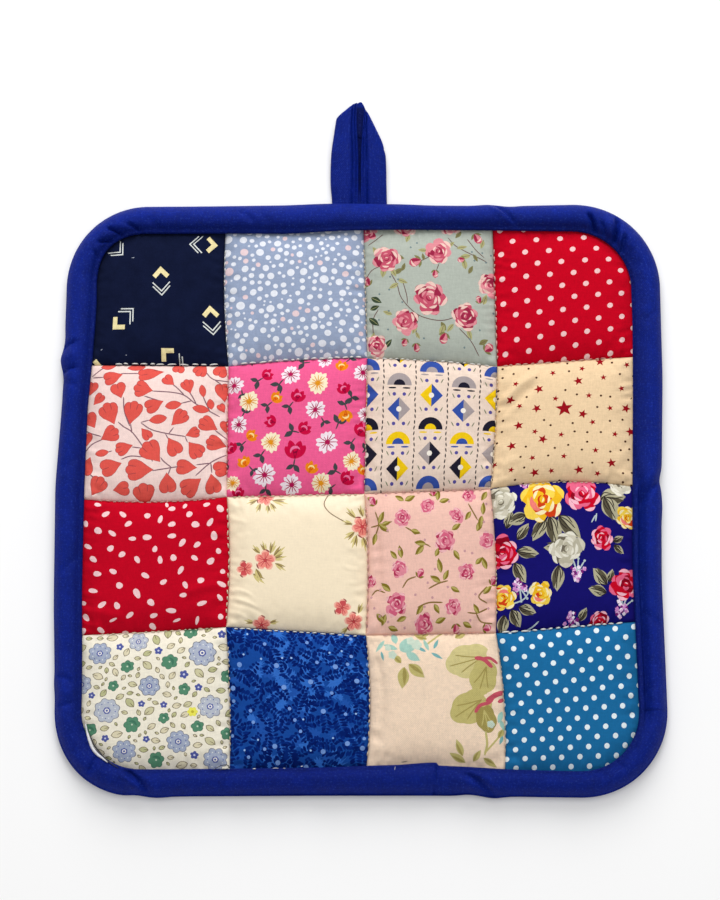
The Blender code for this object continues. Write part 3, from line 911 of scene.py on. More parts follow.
# x, y, radius, turn
WHITE_FLOWERS = (
    (-2.3, 18.2, 3.1, 10), (6.3, 5.3, 3.1, 30), (10.6, -6, 3.5, 0), (-10.6, -16.6, 3.6, 20),
    (-1.3, -20.2, 3.3, 5), (-19.6, 1.7, 2.9, 15), (-21.4, 15.9, 3.0, 0), (22.2, 18.2, 3.0, 20),
    (9.3, 23, 2.6, 0), (23.4, 3.6, 2.4, 10),
)
CREAM_DAISIES = (
    (7, 14.6, 3.5, 12), (-16.2, 9.6, 3.5, 0), (-8.6, -5.3, 3.2, 25), (18.9, -12.6, 3.1, 5),
    (8.6, -19.9, 3.2, 15), (-21.4, -18.9, 2.6, 10),
)
ORANGE_BUDS = (
    (14.9, 20.4, 1.9, 80), (-7, 10.1, 1.9, 40), (-15.3, -2.7, 1.9, 30), (16.6, 3.1, 2.1, 270),
    (-17.6, -11.9, 2.0, 120), (5.3, -14.8, 2.0, 60), (23, -15.6, 1.8, 90),
)
CRIMSON_TULIPS = (
    (-10.3, 18.6, 1.9, 30), (0.3, 10.2, 2.2, 70), (15.8, 12.3, 2.0, 110), (-8.6, 1.9, 1.9, 160),
    (2.6, -1.1, 2.1, 40), (-0.3, -8.6, 3.1, 90), (21.9, -2, 2.3, 60), (17.4, -18.6, 2.2, 45),
    (-22.2, -6.6, 2.0, 120), (-19.6, -22.4, 1.8, 90),
)
MEADOW_SPRIGS = (
    (-11.5, 17.6, 210, 4), (-4.6, 16.6, 230, 4.4), (-1.2, 8.4, 230, 3.8), (17.6, 11, 300, 3.6),
    (18, 13.6, 250, 3.4), (1, -2.4, 165, 4.4), (-0.3, -11.4, 260, 4.2), (13.4, -1.6, 70, 4.4),
    (20, -4.6, 235, 4), (-10.6, -8, 235, 4), (-10, -19.6, 265, 3.6), (15.4, -17, 150, 4),
    (13.6, -20.4, 215, 3.4), (-8.4, 8.8, 220, 3.6), (-17, -4.4, 220, 3.6), (-15.8, -13.4, 310, 3.4),
    (17, 5, 110, 3.8), (-18.6, 4.4, 60, 3.2), (8.4, 2.6, 300, 3.2), (4.2, 22.4, 185, 4),
    (16.4, 22, 40, 3.4), (22.6, -9.6, 60, 3), (-23, -10.4, 240, 3), (-15.4, 22.4, 100, 3),
    (-18.8, 14, 280, 3),
)
meadow = []
for spot in MEADOW_SPRIGS:
    meadow += sprig(*spot, MEADOW_LEAF)
for x, y, size, turn in ORANGE_BUDS:
    meadow += tulip(x, y, size, turn, MEADOW_ORANGE, (255, 226, 150), (214, 84, 20))
for x, y, size, turn in CRIMSON_TULIPS:
    meadow += tulip(x, y, size, turn, CRIMSON, (240, 120, 164), (140, 8, 52))
for spot in WHITE_FLOWERS:
    meadow += rayed_flower(*spot, MEADOW_WHITE, (180, 26, 84))
for spot in CREAM_DAISIES:
    meadow += rayed_flower(*spot, MEADOW_CREAM, (232, 152, 32), 7)
sew_square("pink_meadow_square", 1, 2, (247, 98, 152), meadow, grain=-3)


# ==== Off-white square with fans and diamonds, third in the second row
# Off-white cotton with columns of small two-coloured fans and diamonds between upright dashed lines.
FAN_TONES = ((34, 32, 48), (248, 206, 24), (56, 84, 168), (172, 160, 160))
DASH, PLUM, MOSS = (52, 46, 50), (92, 84, 160), (120, 128, 100)
fans = []
for column in range(-2, 3):
    middle = column * 11.6
    for k in range(-13, 14):
        fans.append((strand([(middle + 5.8 + 0.3 * math.sin(k), k * 2.0), (middle + 5.8, k * 2.0 + 1.35)],
                            0.5), DASH))
    for row in range(-3, 4):
        x, y = middle, row * 10.4 + (5.2 if column % 2 else 0)
        first, second = FAN_TONES[(row + 2 * column) % 4], FAN_TONES[(row + 2 * column + 1) % 4]
        if (row + column) % 2:
            fans.append(([(x - 4.1, y), (x, y - 4.2), (x, y + 4.2)], first))
            fans.append(([(x, y - 4.2), (x + 4.1, y), (x, y + 4.2)], second))
            fans.append((disc(x, y, 0.95), (252, 244, 232)))
        else:
            bowl = [(x + 4.4 * math.cos(math.pi * t / 14),
                     y - 1.9 + 4.4 * math.sin(math.pi * t / 14)) for t in range(15)]
            heart = [(x + 2.1 * math.cos(math.pi * t / 8),
                      y - 1.9 + 2.1 * math.sin(math.pi * t / 8)) for t in range(9)]
            fans += [(bowl, first), (heart, second)]
            fans += [(strand([(x + 3.9 * side, y - 2.9), (x + 1.2 * side, y - 2.9)], 0.6), second)
                     for side in (1, -1)]
        for side in (-1, 1):
            fans.append((disc(x + 1.8 * side, y + 5.3, 0.66), PLUM))
            fans.append((strand([(x + 3.3 * side, y + 4.6), (x + 4.1 * side, y + 6.1)], 0.42), MOSS))
sew_square("fan_and_diamond_square", 2, 2, (244, 221, 204), fans, grain=2)


# ==== Cream square with crimson stars, right in the second row
# Cream cotton sprinkled with crimson stars of three sizes and tiny dark specks.
STAR_CRIMSON, SPECK = (160, 18, 30), (82, 50, 34)


def star(x, y, radius, turn):
    ring = []
    for k in range(10):
        reach = radius * (0.42 if k % 2 else 1)
        t = math.radians(90 + turn + 36 * k)
        ring.append((x + reach * math.cos(t), y + reach * math.sin(t)))
    return ring


MIDDLING_STARS = (
    (4.6, 15.1), (-9, 12.9), (-18.7, 9.4), (-9.6, 5.4), (6.3, 2.3), (-15.6, -0.7), (-7.1, -6.8),
    (-17.6, -8.4), (21.2, 4.3), (16.4, -16.2), (5.6, -19.2), (22.8, -4.1), (12.3, 22.2), (-9.2, -19.7),
)
SMALL_STARS = (
    (-4.2, 18.9), (6, 19.9), (13.3, 15.9), (21.6, 20.4), (19.6, 11.6), (8.3, 9.3), (-3.2, 8.8),
    (-15.6, 6.8), (-17.1, 15.5), (15.6, 4.3), (9.7, -0.9), (-9.9, -3.6), (-0.9, -5.4), (17.4, -5.4),
    (10.9, -11.7), (0.3, -13.9), (-10.3, -13.9), (-23, -14.6), (-17.2, -17.7), (-3.6, -19.4), (11.9, -20.4),
)
draw = random.Random(24)
stars = [(star(-0.1, 4.8, 3.2, 4), STAR_CRIMSON)]
stars += [(star(x, y, 1.8, draw.uniform(-30, 30)), STAR_CRIMSON) for x, y in MIDDLING_STARS]
stars += [(star(x, y, 1.2, draw.uniform(-30, 30)), STAR_CRIMSON) for x, y in SMALL_STARS]
star_places = [(x, y, 1.6) for x, y in MIDDLING_STARS + SMALL_STARS] + [(0, 4.8, 3)]
for x, y, size in scattered(draw, [0.42] * 64, 2.1, star_places, 24):
    stars.append((disc(x, y, size), SPECK))
STAR_FOLDS = (
    (-23.5, 9.5, -8.0, 22.5, -0.4, 1.3), (-23.5, 6.5, -8.0, 20.5, 1.1, 1.7),
    (-21.5, 3.0, -7.0, 16.5, -0.65, 1.5), (-23, 0, -13, 9, 0.45, 1.4), (-23, -20, -14, -12, 0.4, 1.5),
)
sew_square("star_square", 3, 2, (247, 216, 174), stars, grain=-2, folds=STAR_FOLDS)


# ==== Red square with thrown ovals, left in the third row
# Crimson cotton with pinkish-white ovals that lean every way, none quite alike.
# x, y, lean in degrees, length and width
OVALS = (
    (-17, 19, 15, 3.2, 1.9), (-11, 19, -5, 3.1, 1.8), (-2.5, 18.5, 80, 2.3, 2.3), (2, 17, 35, 3.4, 1.6),
    (6, 21, 70, 2.6, 2.0), (10.5, 21.8, 30, 2.3, 1.4), (18, 21.8, 15, 2.6, 1.7), (22.6, 20, 20, 3.2, 2.4),
    (12, 18.5, 0, 2.6, 2.2), (-9, 15.5, 40, 3.0, 1.9), (-24, 15.5, 50, 2.6, 1.8), (-19.5, 13, -5, 3.0, 2.5),
    (6, 15, 80, 2.8, 2.1), (14, 14.5, 60, 2.9, 2.6), (19, 15, 40, 3.6, 1.8), (-14.5, 12, 70, 3.3, 1.7),
    (-7.5, 10, -30, 2.7, 1.7), (-2.5, 10.4, 50, 3.2, 2.3), (6, 10.6, 65, 3.1, 2.0),
    (20.2, 10, 50, 3.7, 2.2), (9.5, 8, 50, 3.5, 1.9), (14.5, 7, -65, 2.9, 1.9), (-23, 7.5, 70, 3.2, 1.6),
    (-15, 6.6, -10, 2.7, 2.2), (0.2, 6, 75, 2.6, 1.8), (21.6, 4.4, 30, 2.4, 1.8), (-11, 4.4, 80, 2.7, 2.1),
    (-21, 3, 20, 3.1, 2.0), (-5.8, 2.4, 50, 3.1, 1.8), (2, 2, 55, 3.2, 1.7), (6.5, 2.6, -30, 2.7, 2.2),
    (13.6, 2.2, 45, 2.8, 1.8), (19, 0.8, 30, 3.1, 2.3), (-19.5, -2.2, 20, 3.0, 2.1),
    (-14, -1.6, 70, 2.9, 1.9), (9, -2, 65, 3.5, 1.7), (-3, -3.4, 25, 3.2, 1.9), (23, -3, 0, 2.0, 1.8),
    (3.2, -6, -30, 2.7, 1.9), (-11.8, -6.6, 0, 2.6, 2.4), (15.8, -6, 60, 2.5, 2.3),
    (10.6, -7.4, 80, 3.1, 1.7), (-21, -8, 45, 3.5, 1.7), (22.8, -7.6, 50, 3.6, 1.8),
    (10, -11, -20, 2.6, 1.8), (-5.8, -9.6, 50, 4.1, 2.2), (-17.8, -13, 30, 3.4, 1.9),
    (-12.6, -13.6, 5, 2.9, 2.1), (-1, -13, -30, 3.0, 2.3), (22.4, -12.4, 35, 3.1, 1.5),
    (16.4, -14.2, 50, 3.6, 1.8), (6, -16.2, 50, 3.8, 1.9), (-23.5, -17, 55, 3.2, 1.9),
    (-8.2, -17, 25, 3.2, 1.7), (0, -17.6, 15, 2.8, 1.8), (-14, -18.4, -55, 3.0, 1.0),
    (8, -19.6, 40, 2.9, 1.1), (15, -20, -40, 3.3, 1.2), (23, -19.2, 10, 2.4, 1.9),
    (-24.6, -21.6, 20, 2.6, 1.9), (-18.4, -21.6, -30, 2.9, 1.8), (-0.4, -21.2, -40, 2.9, 2.0),
    (-24.5, -12, -70, 2.4, 1.6), (-10, -22.8, 20, 2.4, 1.4), (4.2, 22.6, 20, 2.2, 1.2),
    (-20, 22.4, 30, 2.6, 1.6),
)
ovals = []
for x, y, lean, length, width in OVALS:
    round_it = scalloped(0, 0, 0.47 * length, 3, 0.1, 20 * x, width / length)
    ovals.append((moved(round_it, 0.94 * x - 0.1, y - 0.65, lean), (252, 212, 214)))
OVAL_FOLDS = ((8, -12, 24, -8, 0.55, 1.8), (-24, 20.5, 8, 21.5, 0.5, 1.3), (-22, -16, -8, -20, 0.3, 1.5))
sew_square("red_oval_square", 0, 1, (200, 8, 36), ovals, grain=4, folds=OVAL_FOLDS)


# ==== Cream satin square with flower sprays, second in the third row
# Smooth, slightly shiny cream sateen with a few coral sprays on olive leaves; it creases softly at its left.
SPRAY_OLIVE, SPRAY_LIGHT, SPRAY_BARK = (164, 142, 66), (214, 196, 120), (118, 86, 40)
CORAL_PETAL, CORAL_DEEP, CORAL_PALE = (242, 134, 118), (206, 54, 60), (252, 182, 160)
# x, y, radius, turn and how deep its colour is, 0 to 2
SPRAY_FLOWERS = (
    (-10.8, 0.2, 3.5, 15, 1), (-17.8, -2.9, 2.9, 40, 2), (-10.4, 22.6, 2.9, 0, 1),
    (15.2, -15.1, 2.8, 10, 2), (19.2, -19.4, 3.0, 30, 1), (-11.6, -22.2, 3.0, 20, 1),
    (22, 12.2, 3.4, 50, 1),
)
SPRAY_LEAVES = (
    (-8, 1.6, 40, 5, 1.7), (-8.4, 0.6, 12, 4.8, 1.6), (-9, 2.6, 70, 4.6, 1.5), (-10.6, 3, 105, 4, 1.3),
    (-7.4, -0.8, -35, 4.2, 1.5), (-12.6, 2.6, 130, 3.6, 1.6), (-15, -4.6, 320, 5, 1.8),
    (-14, -2.8, 290, 4.6, 1.6), (-13, 22, 200, 3.8, 1.3), (-8, 21.6, -15, 5.4, 1.4),
    (-12, 20.6, 245, 3.6, 1.3), (-8.6, 20.6, 295, 3.4, 1.4), (-9.6, 20.2, 270, 3.4, 1.2),
    (20, 9.4, 250, 4.6, 1.5), (22, 9, 280, 4.8, 1.5), (19.4, 10.4, 215, 4.2, 1.4), (20, 15, 130, 4.4, 1.4),
    (22.4, 15.6, 100, 3.8, 1.4), (18.8, 13, 165, 3.4, 1.2), (20.6, -16.6, 70, 3.6, 1.3),
    (17.4, -21.4, 220, 3, 1.2), (-14, -21.6, 170, 3.4, 1.2), (-9, -21.4, 10, 3.2, 1.2),
)
sprays = [(strand([(11.4, 23.6), (9.6, 20), (11.2, 17), (15, 14.4), (18.6, 12.6)], 0.34), SPRAY_BARK)]
for number, (x, y, turn, length, width) in enumerate(SPRAY_LEAVES):
    for off, share, tone in ((0, 1.1, SPRAY_LIGHT), (17, 0.9, SPRAY_OLIVE), (-15, 0.82, SPRAY_LIGHT)):
        sprays.append((leaf(x, y, turn + off, length * share, width * 0.52), tone))
    far = math.radians(turn + 6)
    sprays.append((strand([(x, y), (x + length * 0.75 * math.cos(far), y + length * 0.75 * math.sin(far))],
                          0.3), SPRAY_BARK))
for x, y, radius, turn, deep in SPRAY_FLOWERS:
    for k in range(5):
        bearing = turn + 72 * k
        far = math.radians(bearing)
        middle = (x + radius * 0.6 * math.cos(far), y + radius * 0.6 * math.sin(far))
        sprays.append((scalloped(*middle, radius * 0.46, 3, 0.1, bearing, 0.86),
                       CORAL_DEEP if deep == 2 and k % 2 else CORAL_PETAL))
        sprays.append((crescent(*middle, radius * 0.44, radius * 0.2, bearing + 14, 150), CORAL_PALE))
        for off in (-20, 4):
            way = math.radians(bearing + off)
            tip = (x + radius * 0.74 * math.cos(way), y + radius * 0.74 * math.sin(way))
            sprays.append((strand([(x, y), tip], 0.28), CORAL_DEEP))
        if k % 2:
            sprays.append((crescent(*middle, radius * 0.5, radius * 0.16, bearing - 30, 80), (150, 48, 44)))
    sprays.append((scalloped(x, y, radius * 0.24, 5, 0.2, turn), (192, 34, 40)))
SATEEN = dict(coarse=0.2, depth=0.1, cloudy=0.03, rough=(0.42, 0.58), sheen=0.2, shine=0.45, fuzz=0.15)
SATEEN_FOLDS = (
    (-22.5, -10, -14, -13, 0.3, 0.6), (-22.5, -13.5, -12, -17, 0.28, 0.55),
    (-22.5, -15, -9, -19.5, -0.2, 0.6), (-23, -4, -17, -6, 0.25, 0.7), (-22, -18, -15, -21.5, 0.22, 0.6),
    (-23, 7, -15, 9.5, 0.2, 1.0), (-6, 22, 8, 13, 0.25, 2.5), (-23, 15, -16, 13, 0.2, 0.9),
    (23, -2, 14, -1, 0.22, 0.7), (23, -6, 16, -6.5, 0.2, 0.6), (16, 6, 23, 2, 0.2, 1.4),
)
sew_square("cream_spray_square", 1, 1, (253, 235, 202), sprays, SATEEN, grain=-1, folds=SATEEN_FOLDS)


# ==== Pale pink square with rosebuds, third in the third row
# Pink cotton with small shaded roses and buds on olive twigs, and faint specks between them.
ROSY_TONES = ((180, 52, 88), (216, 100, 130), (230, 142, 158), (246, 190, 192))
ROSY_OLIVE, ROSY_LIT, ROSY_TWIG = (134, 118, 44), (186, 172, 98), (140, 112, 62)
ROSY_ROSES = (
    (5.3, 6.5, 3.8, 10), (-12.8, -13.8, 4.0, 60), (7.9, -15, 2.9, 120), (-2.8, -20.6, 3.6, 200),
    (-11.8, -2.2, 3.0, 30), (-0.4, 18.4, 2.7, 80), (-10, 14.6, 3.0, 140), (10.2, 14.8, 2.9, 250),
    (12.6, -3.8, 3.1, 300), (15, 21.4, 2.6, 0), (20.4, 6.4, 2.8, 45), (-22.6, -6, 2.2, 0),
)
ROSY_BUDS = ((-4, -4, 1.7, 60), (9, -22, 1.7, 280), (22.4, -6.8, 1.7, 60), (-20.6, 20.6, 1.7, 120),
             (2, 23, 1.6, 90), (20, -22, 1.6, 10))
ROSY_TWIGS = (
    ((-10.6, -8.6), (-8.6, -6), (-5.6, -5)), ((-1, -9), (2.6, -7.4), (6, -6.6)),
    ((-22, 12), (-18, 12.6), (-14, 13.4)), ((-9, 11.4), (-6.6, 10), (-5.4, 8.8)),
    ((0, 4.6), (-2, 5.6), (-4.4, 4.4)), ((-5, -15), (-1, -13.6), (4, -13.6)),
    ((13, -17), (16.4, -17.2), (20.4, -15.6)), ((16, -17.2), (18, -20), (22, -20.6)),
    ((20, -8.6), (17, -12), (20, -14)), ((-20, 17), (-19, 12.8), (-20.6, 8.6)),
    ((14.6, 18.6), (16.2, 15.6), (17.6, 13)), ((-17, -10), (-20, -9), (-22, -10.6)),
)
ROSY_LEAVES = (
    (-8.8, 20.4, 20, 4, 1.8), (-9, 20.4, 150, 3.4, 1.6), (3.4, 20, 80, 3.8, 1.6), (4, 19.6, 10, 3.6, 1.6),
    (-19, 13, 60, 4.2, 1.7), (-19, 13, 320, 4.4, 1.8), (-20, 10, 250, 4, 1.6), (-18, 12.6, 10, 3.4, 1.4),
    (-7, 10.4, 340, 3.4, 1.6), (-1.6, 5.6, 170, 4, 1.7), (-2.4, 5, 220, 4, 1.8), (8, 10, 30, 3.6, 1.6),
    (8.4, 3.4, 300, 3.6, 1.6), (1.6, 1.4, 60, 3.2, 1.5), (3.6, -4, 100, 4.6, 1.8), (3.4, -7, 150, 4, 1.7),
    (4.4, -6.4, 60, 3.6, 1.6), (-10.8, 1.2, 100, 4, 1.8), (-12.6, 1, 130, 3.4, 1.5),
    (-15, -9.6, 140, 4.2, 1.8), (-16.6, -17, 250, 3.6, 1.7), (-9, -18, 200, 3.6, 1.6),
    (-20, -16.6, 310, 4, 1.7), (-3, -14.4, 230, 3.6, 1.6), (1, -14, 300, 3.4, 1.6),
    (1.4, -20, 20, 3.8, 1.7), (11.4, -20, 330, 3.4, 1.6), (17, -17.4, 120, 3.4, 1.5),
    (18.6, -11, 40, 3.8, 1.6), (20, -3, 110, 4, 1.7), (17, 9.4, 60, 4.2, 1.8), (19.4, 14.6, 250, 4, 1.7),
    (19.6, 14.8, 80, 4, 1.6), (15.4, 16, 230, 3.4, 1.5), (22, 22.6, 230, 3.6, 1.6),
    (-22.6, 22, 330, 3.6, 1.6), (7, -8.6, 330, 3.4, 1.5), (16, -1.4, 40, 3.2, 1.5),
    (-15.6, -21, 340, 3.6, 1.6),
)
rosy = [(strand(line, 0.5), ROSY_TWIG) for line in ROSY_TWIGS]
for spot in ROSY_LEAVES:
    x, y, turn, length, width = spot
    rosy.append((leaf(x, y, turn, length * 1.1, width * 1.12), ROSY_OLIVE))
    rosy.append((leaf(x, y, turn + 7, length, width * 0.5, 0, 0.1), ROSY_LIT))
for x, y, size, turn in ROSY_BUDS:
    rosy += bud(x, y, size, turn, ROSY_TONES, ROSY_OLIVE)
for x, y, size, turn in ROSY_ROSES:
    rosy += rose(x, y, size, turn, ROSY_TONES)
draw = random.Random(33)
rosy_taken = [(x, y, size) for x, y, size, _ in ROSY_ROSES + ROSY_BUDS]
for x, y, size in scattered(draw, [0.5] * 34, 1.6, rosy_taken):
    rosy.append((scalloped(x, y, size, 4, 0.25, 40 * x), (206, 156, 160)))
ROSY_FOLDS = ((-22, 18, -21, -20, -0.5, 1.4), (22, 16, 23, -14, 0.4, 1.4))
sew_square("pink_rosebud_square", 2, 1, (247, 200, 184), rosy, grain=3, folds=ROSY_FOLDS)


# ==== Deep blue square with garden roses, right in the third row
# Deep blue cotton with large yellow, red and grey-cream roses, olive-grey leaves and lilac sprigs.
YELLOW_TONES = ((214, 66, 24), (244, 190, 36), (252, 216, 84), (255, 240, 190))
RED_TONES = ((146, 8, 34), (206, 10, 40), (236, 104, 140), (252, 190, 206))
GREY_TONES = ((116, 108, 92), (190, 184, 162), (214, 208, 188), (236, 232, 216))
GARDEN_DARK, GARDEN_LIT, GARDEN_VEIN, LILAC = (92, 86, 68), (184, 178, 148), (52, 46, 42), (232, 186, 226)


def garden_leaf(x, y, turn, length, width):
    """A broad leaf, dark along one side, with long dark veins from its stalk."""
    length, width = length * 1.12, width * 1.2
    parts = [(leaf(x, y, turn, length, width), GARDEN_LIT),
             (leaf(x, y, turn - 9, length * 0.92, width * 0.42, 0, -0.2), GARDEN_DARK)]
    for off, share in ((-11, 0.5), (-2, 0.88), (8, 0.66), (17, 0.5)):
        tip = moved([(length * share, 0)], x, y, turn + off)[0]
        bow = moved([(length * share * 0.5, width * 0.012 * off)], x, y, turn + off)[0]
        parts.append((strand([(x, y), bow, tip], 0.34), GARDEN_VEIN))
    return parts


GARDEN_LEAVES = (
    (-4.6, 12.6, 285, 9, 4.6), (-1.6, 12.4, 315, 9.4, 4.4), (-6, 11.6, 235, 7.4, 3.6), (3, 1.6, 175, 9, 4),
    (-2, -3.4, 265, 7.6, 3.8), (12.6, 17.8, 10, 8, 5.2), (14, 18.6, 300, 8.2, 4.8),
    (-16, 5.6, 50, 5.8, 2.8), (-16.4, 2, 350, 7, 3.2), (-17.4, -1.6, 300, 7, 3.6),
    (-19.4, 9.6, 70, 5.4, 2.8), (14.6, -10.6, 130, 6.6, 3.6), (14.4, -13.2, 165, 5.8, 3.2),
    (15.4, -9.8, 75, 4, 2.2), (-18.6, -16.6, 300, 6, 3.4), (-16, -16, 340, 5.8, 3), (-21, -18, 265, 6, 3.4),
    (17, 3.6, 30, 3.6, 2), (17.2, 2.6, 320, 4, 2), (-12.4, 13.4, 200, 6, 3.4), (10, 22, 120, 5, 3),
    (5, -22, 60, 4.4, 2.4),
)
GARDEN_TWIGS = (((-19, -15), (-14, -13.4), (-11.6, -9.4)), ((9.6, 10), (11, 12.4)),
                ((11, 10.4), (11.4, 13)), ((-14, -24), (-11, -22.6), (-9, -21)))
GARDEN_ROSES = (
    (-7, 17.8, 6.9, 20, YELLOW_TONES), (6.7, 19.4, 6.2, 70, RED_TONES), (-20.6, 18.5, 5.4, 130, GREY_TONES),
    (0.8, 1.7, 5.8, 10, GREY_TONES), (13, 4.9, 4.2, 200, RED_TONES), (-21.3, 2.2, 5.4, 300, RED_TONES),
    (-8.5, -12.2, 4.2, 60, YELLOW_TONES), (21.3, -10.6, 5.4, 110, RED_TONES),
    (22, 12, 4.2, 40, YELLOW_TONES), (-21.4, -12.4, 4.4, 250, YELLOW_TONES),
    (11.8, -22.4, 3.4, 90, RED_TONES), (19.6, 24, 4.4, 10, GREY_TONES),
)
FROSTED = (190, 204, 206)
LILAC_SPRIGS = ((4.4, -6.2, 260), (-15.6, -9.6, 120), (2.4, -21.6, 90), (19.6, -19, 240), (-12.6, 24, 300))
draw = random.Random(34)
garden = [(strand(line, 0.5), FROSTED) for line in GARDEN_TWIGS]
for spot in GARDEN_LEAVES:
    garden += garden_leaf(*spot)
for x, y, turn in LILAC_SPRIGS:
    for off in (-24, 4, 28):
        tip = moved([(4.6, 0)], x, y, turn + 180 + off)[0]
        garden.append((strand([(x, y), tip], 0.5), FROSTED))
        garden.append((disc(*tip, 0.42), FROSTED))
    for k in range(26):
        reach, aside = 4.4 * k / 25, draw.uniform(-1, 1) * (2.8 - 1.8 * k / 25)
        spot = moved([(reach - 1.8, aside)], x, y, turn)[0]
        tone = ((250, 236, 250), LILAC, (214, 140, 206), (126, 34, 120))[k % 4]
        garden.append((scalloped(*spot, draw.uniform(0.5, 0.8), 4, 0.3, draw.uniform(0, 90)), tone))
for x, y, size, turn, tones in GARDEN_ROSES:
    garden += rose(x, y, size, turn, tones)
    if tones is YELLOW_TONES:
        side = math.radians(turn + 190)
        garden.append((crescent(x + size * 0.2 * math.cos(side), y + size * 0.2 * math.sin(side),
                                size * 0.42, size * 0.3, turn + 190, 150), (246, 130, 120)))
sew_square("blue_garden_square", 3, 1, (24, 20, 110), garden, grain=-3)


# ==== Cream square with small meadow herbs, bottom left
# Fine cream cotton crowded with little grey-blue, green and violet flowers and outlined olive leaves.
HERB_BLUE, HERB_GREEN, HERB_VIOLET, HERB_LINE = (182, 190, 208), (90, 144, 114), (84, 94, 164), (112, 102, 74)
draw = random.Random(41)
herbs = []


def outlined(shape_of, x, y, size, fill, line):
    """A shape with a thin darker edge drawn round it."""
    return [(shape_of(x, y, size), line), (shape_of(x, y, size - 0.22), fill)]


# x, y, radius and number of lobes of the large flowers
HERB_FLOWERS = (
    (15.5, 15, 4.6, 9), (-15, -3.5, 4.4, 8), (-1.5, 4.5, 3.6, 7), (17.5, -3, 4.0, 8), (7.5, -14.5, 3.9, 8),
    (-17.5, 16.5, 4.0, 8), (-5, 20, 3.4, 7), (-9.5, -17.5, 4.0, 8), (19, -20.5, 4.0, 8), (-23.5, 6, 3.6, 7),
    (-24, -14, 3.4, 7),
)
HERB_CLUMPS = (
    (5, 12.5, 2.9, 6), (-8.5, 11.5, 2.4, 6), (-7, -8.5, 3.0, 6), (9.5, 3, 2.2, 5), (-20.5, -10, 2.6, 5),
    (0.5, -20.5, 2.9, 6), (13.5, -9.5, 2.2, 5), (23, 7, 2.4, 5), (3, -6.5, 2.0, 5), (12, 22.5, 2.6, 6),
    (-13, 5, 2.0, 5), (22.5, -12, 2.2, 5),
)
HERB_BELLS = (
    (9.5, 8, 1.5), (-4, -1.5, 1.2), (-11, 18.5, 1.3), (1.5, 16.5, 1.4), (-20, 2, 1.2), (14, 3.5, 1.3),
    (12.5, -19, 1.4), (-15.5, -13, 1.3), (-2.5, -13.5, 1.2), (22, 21, 1.4), (3, -2, 1.2),
)
herb_places = [(x, y, size) for x, y, size, _ in HERB_FLOWERS + HERB_CLUMPS] + list(HERB_BELLS)
HERB_FILLER_SIZES = [2.0] * 24 + [1.6] * 40 + [1.2] * 40 + [0.8] * 60
for x, y, size in scattered(draw, HERB_FILLER_SIZES, 0.1, herb_places, 25.5, 700):
    turn = draw.uniform(0, 360)
    foot = moved([(-size, 0)], x, y, turn)[0]
    herbs.append((leaf(*foot, turn, size * 2, size * 1.45, 0.5), HERB_LINE))
    inner = moved([(-size + 0.25, 0)], x, y, turn)[0]
    herbs.append((leaf(*inner, turn, size * 2 - 0.5, size * 1.45 - 0.42, 0.5),
                  draw.choice(((214, 208, 168), (230, 220, 188), (196, 196, 148)))))
    herbs.append((strand([foot, (x, y)], 0.22), HERB_LINE))
for x, y, radius, lobes in HERB_FLOWERS:
    turn = draw.uniform(0, 90)
    tone = draw.choice((HERB_BLUE, (192, 198, 210), (170, 180, 202)))
    herbs += outlined(lambda px, py, r: scalloped(px, py, r, lobes, 0.2, turn), x, y, radius, tone,
                      (110, 112, 124))
    for k in range(lobes * 2):
        far = math.radians(turn + 180 * k / lobes)
        spot = (x + radius * 0.62 * math.cos(far), y + radius * 0.62 * math.sin(far))
        herbs.append((disc(*spot, 0.2), HERB_VIOLET if k % 2 else (240, 240, 236)))
    herbs.append((scalloped(x, y, radius * 0.28, 6, 0.15, turn), HERB_VIOLET))
    herbs.append((disc(x, y, radius * 0.17), (246, 244, 238)))
    herbs.append((disc(x, y, radius * 0.09), HERB_VIOLET))
for x, y, radius, lobes in HERB_CLUMPS:
    turn = draw.uniform(0, 90)
    herbs += outlined(lambda px, py, r: scalloped(px, py, r, lobes, 0.22, turn, 0.9), x, y, radius,
                      HERB_GREEN, (76, 118, 98))
    herbs.append((crescent(x, y, radius * 0.5, radius * 0.3, turn, 160), (72, 124, 100)))
    herbs.append((disc(x, y, 0.3), (206, 224, 200)))
for x, y, size in HERB_BELLS:
    tone = HERB_VIOLET
    herbs.append((scalloped(x, y, size, 5, 0.3, draw.uniform(0, 90)), tone))
    herbs.append((disc(x, y, size * 0.25), (210, 212, 236)))
herbs.append((scalloped(12, -4.6, 1.7, 6, 0.25), (244, 238, 96)))
herbs.append((disc(12, -4.6, 0.5), (206, 190, 60)))
sew_square("herb_square", 0, 0, (250, 243, 224), herbs, grain=2)


# ==== Mottled blue square, second in the bottom row
# Blue cotton dyed in feathery dark and light bursts like frost, with small pale dots.
FROST_DARK, FROST_MID, FROST_LIGHT, FROST_DOT = (5, 28, 100), (24, 74, 158), (50, 110, 202), (122, 160, 226)
draw = random.Random(42)


def burst(x, y, radius, spikes, squash, turn):
    """A ragged burst with long and short spikes."""
    ring = []
    for k in range(spikes * 2):
        reach = radius * (draw.uniform(0.4, 0.6) if k % 2 else draw.uniform(0.8, 1.15))
        t = math.pi * k / spikes
        ring.append((reach * math.cos(t), reach * squash * math.sin(t)))
    return moved(ring, x, y, turn)


def feather(x, y, turn, length, size):
    """A bent row of small leaflets to both sides, like frost on a pane."""
    marks = []
    bend = draw.uniform(-0.6, 0.6)
    count = round(length / 0.85)
    for k in range(count):
        t = k / (count - 1)
        stalk = moved([(length * (t - 0.5), bend * length * (t - 0.5) ** 2)], x, y, turn)[0]
        for side in (1, -1):
            reach = size * (0.5 + 0.9 * math.sin(math.pi * (0.1 + 0.8 * t))) * draw.uniform(0.75, 1.2)
            marks.append(leaf(*stalk, turn + side * draw.uniform(48, 78) - 60 * bend * (t - 0.5), reach,
                              1.15, 0.7))
    return marks


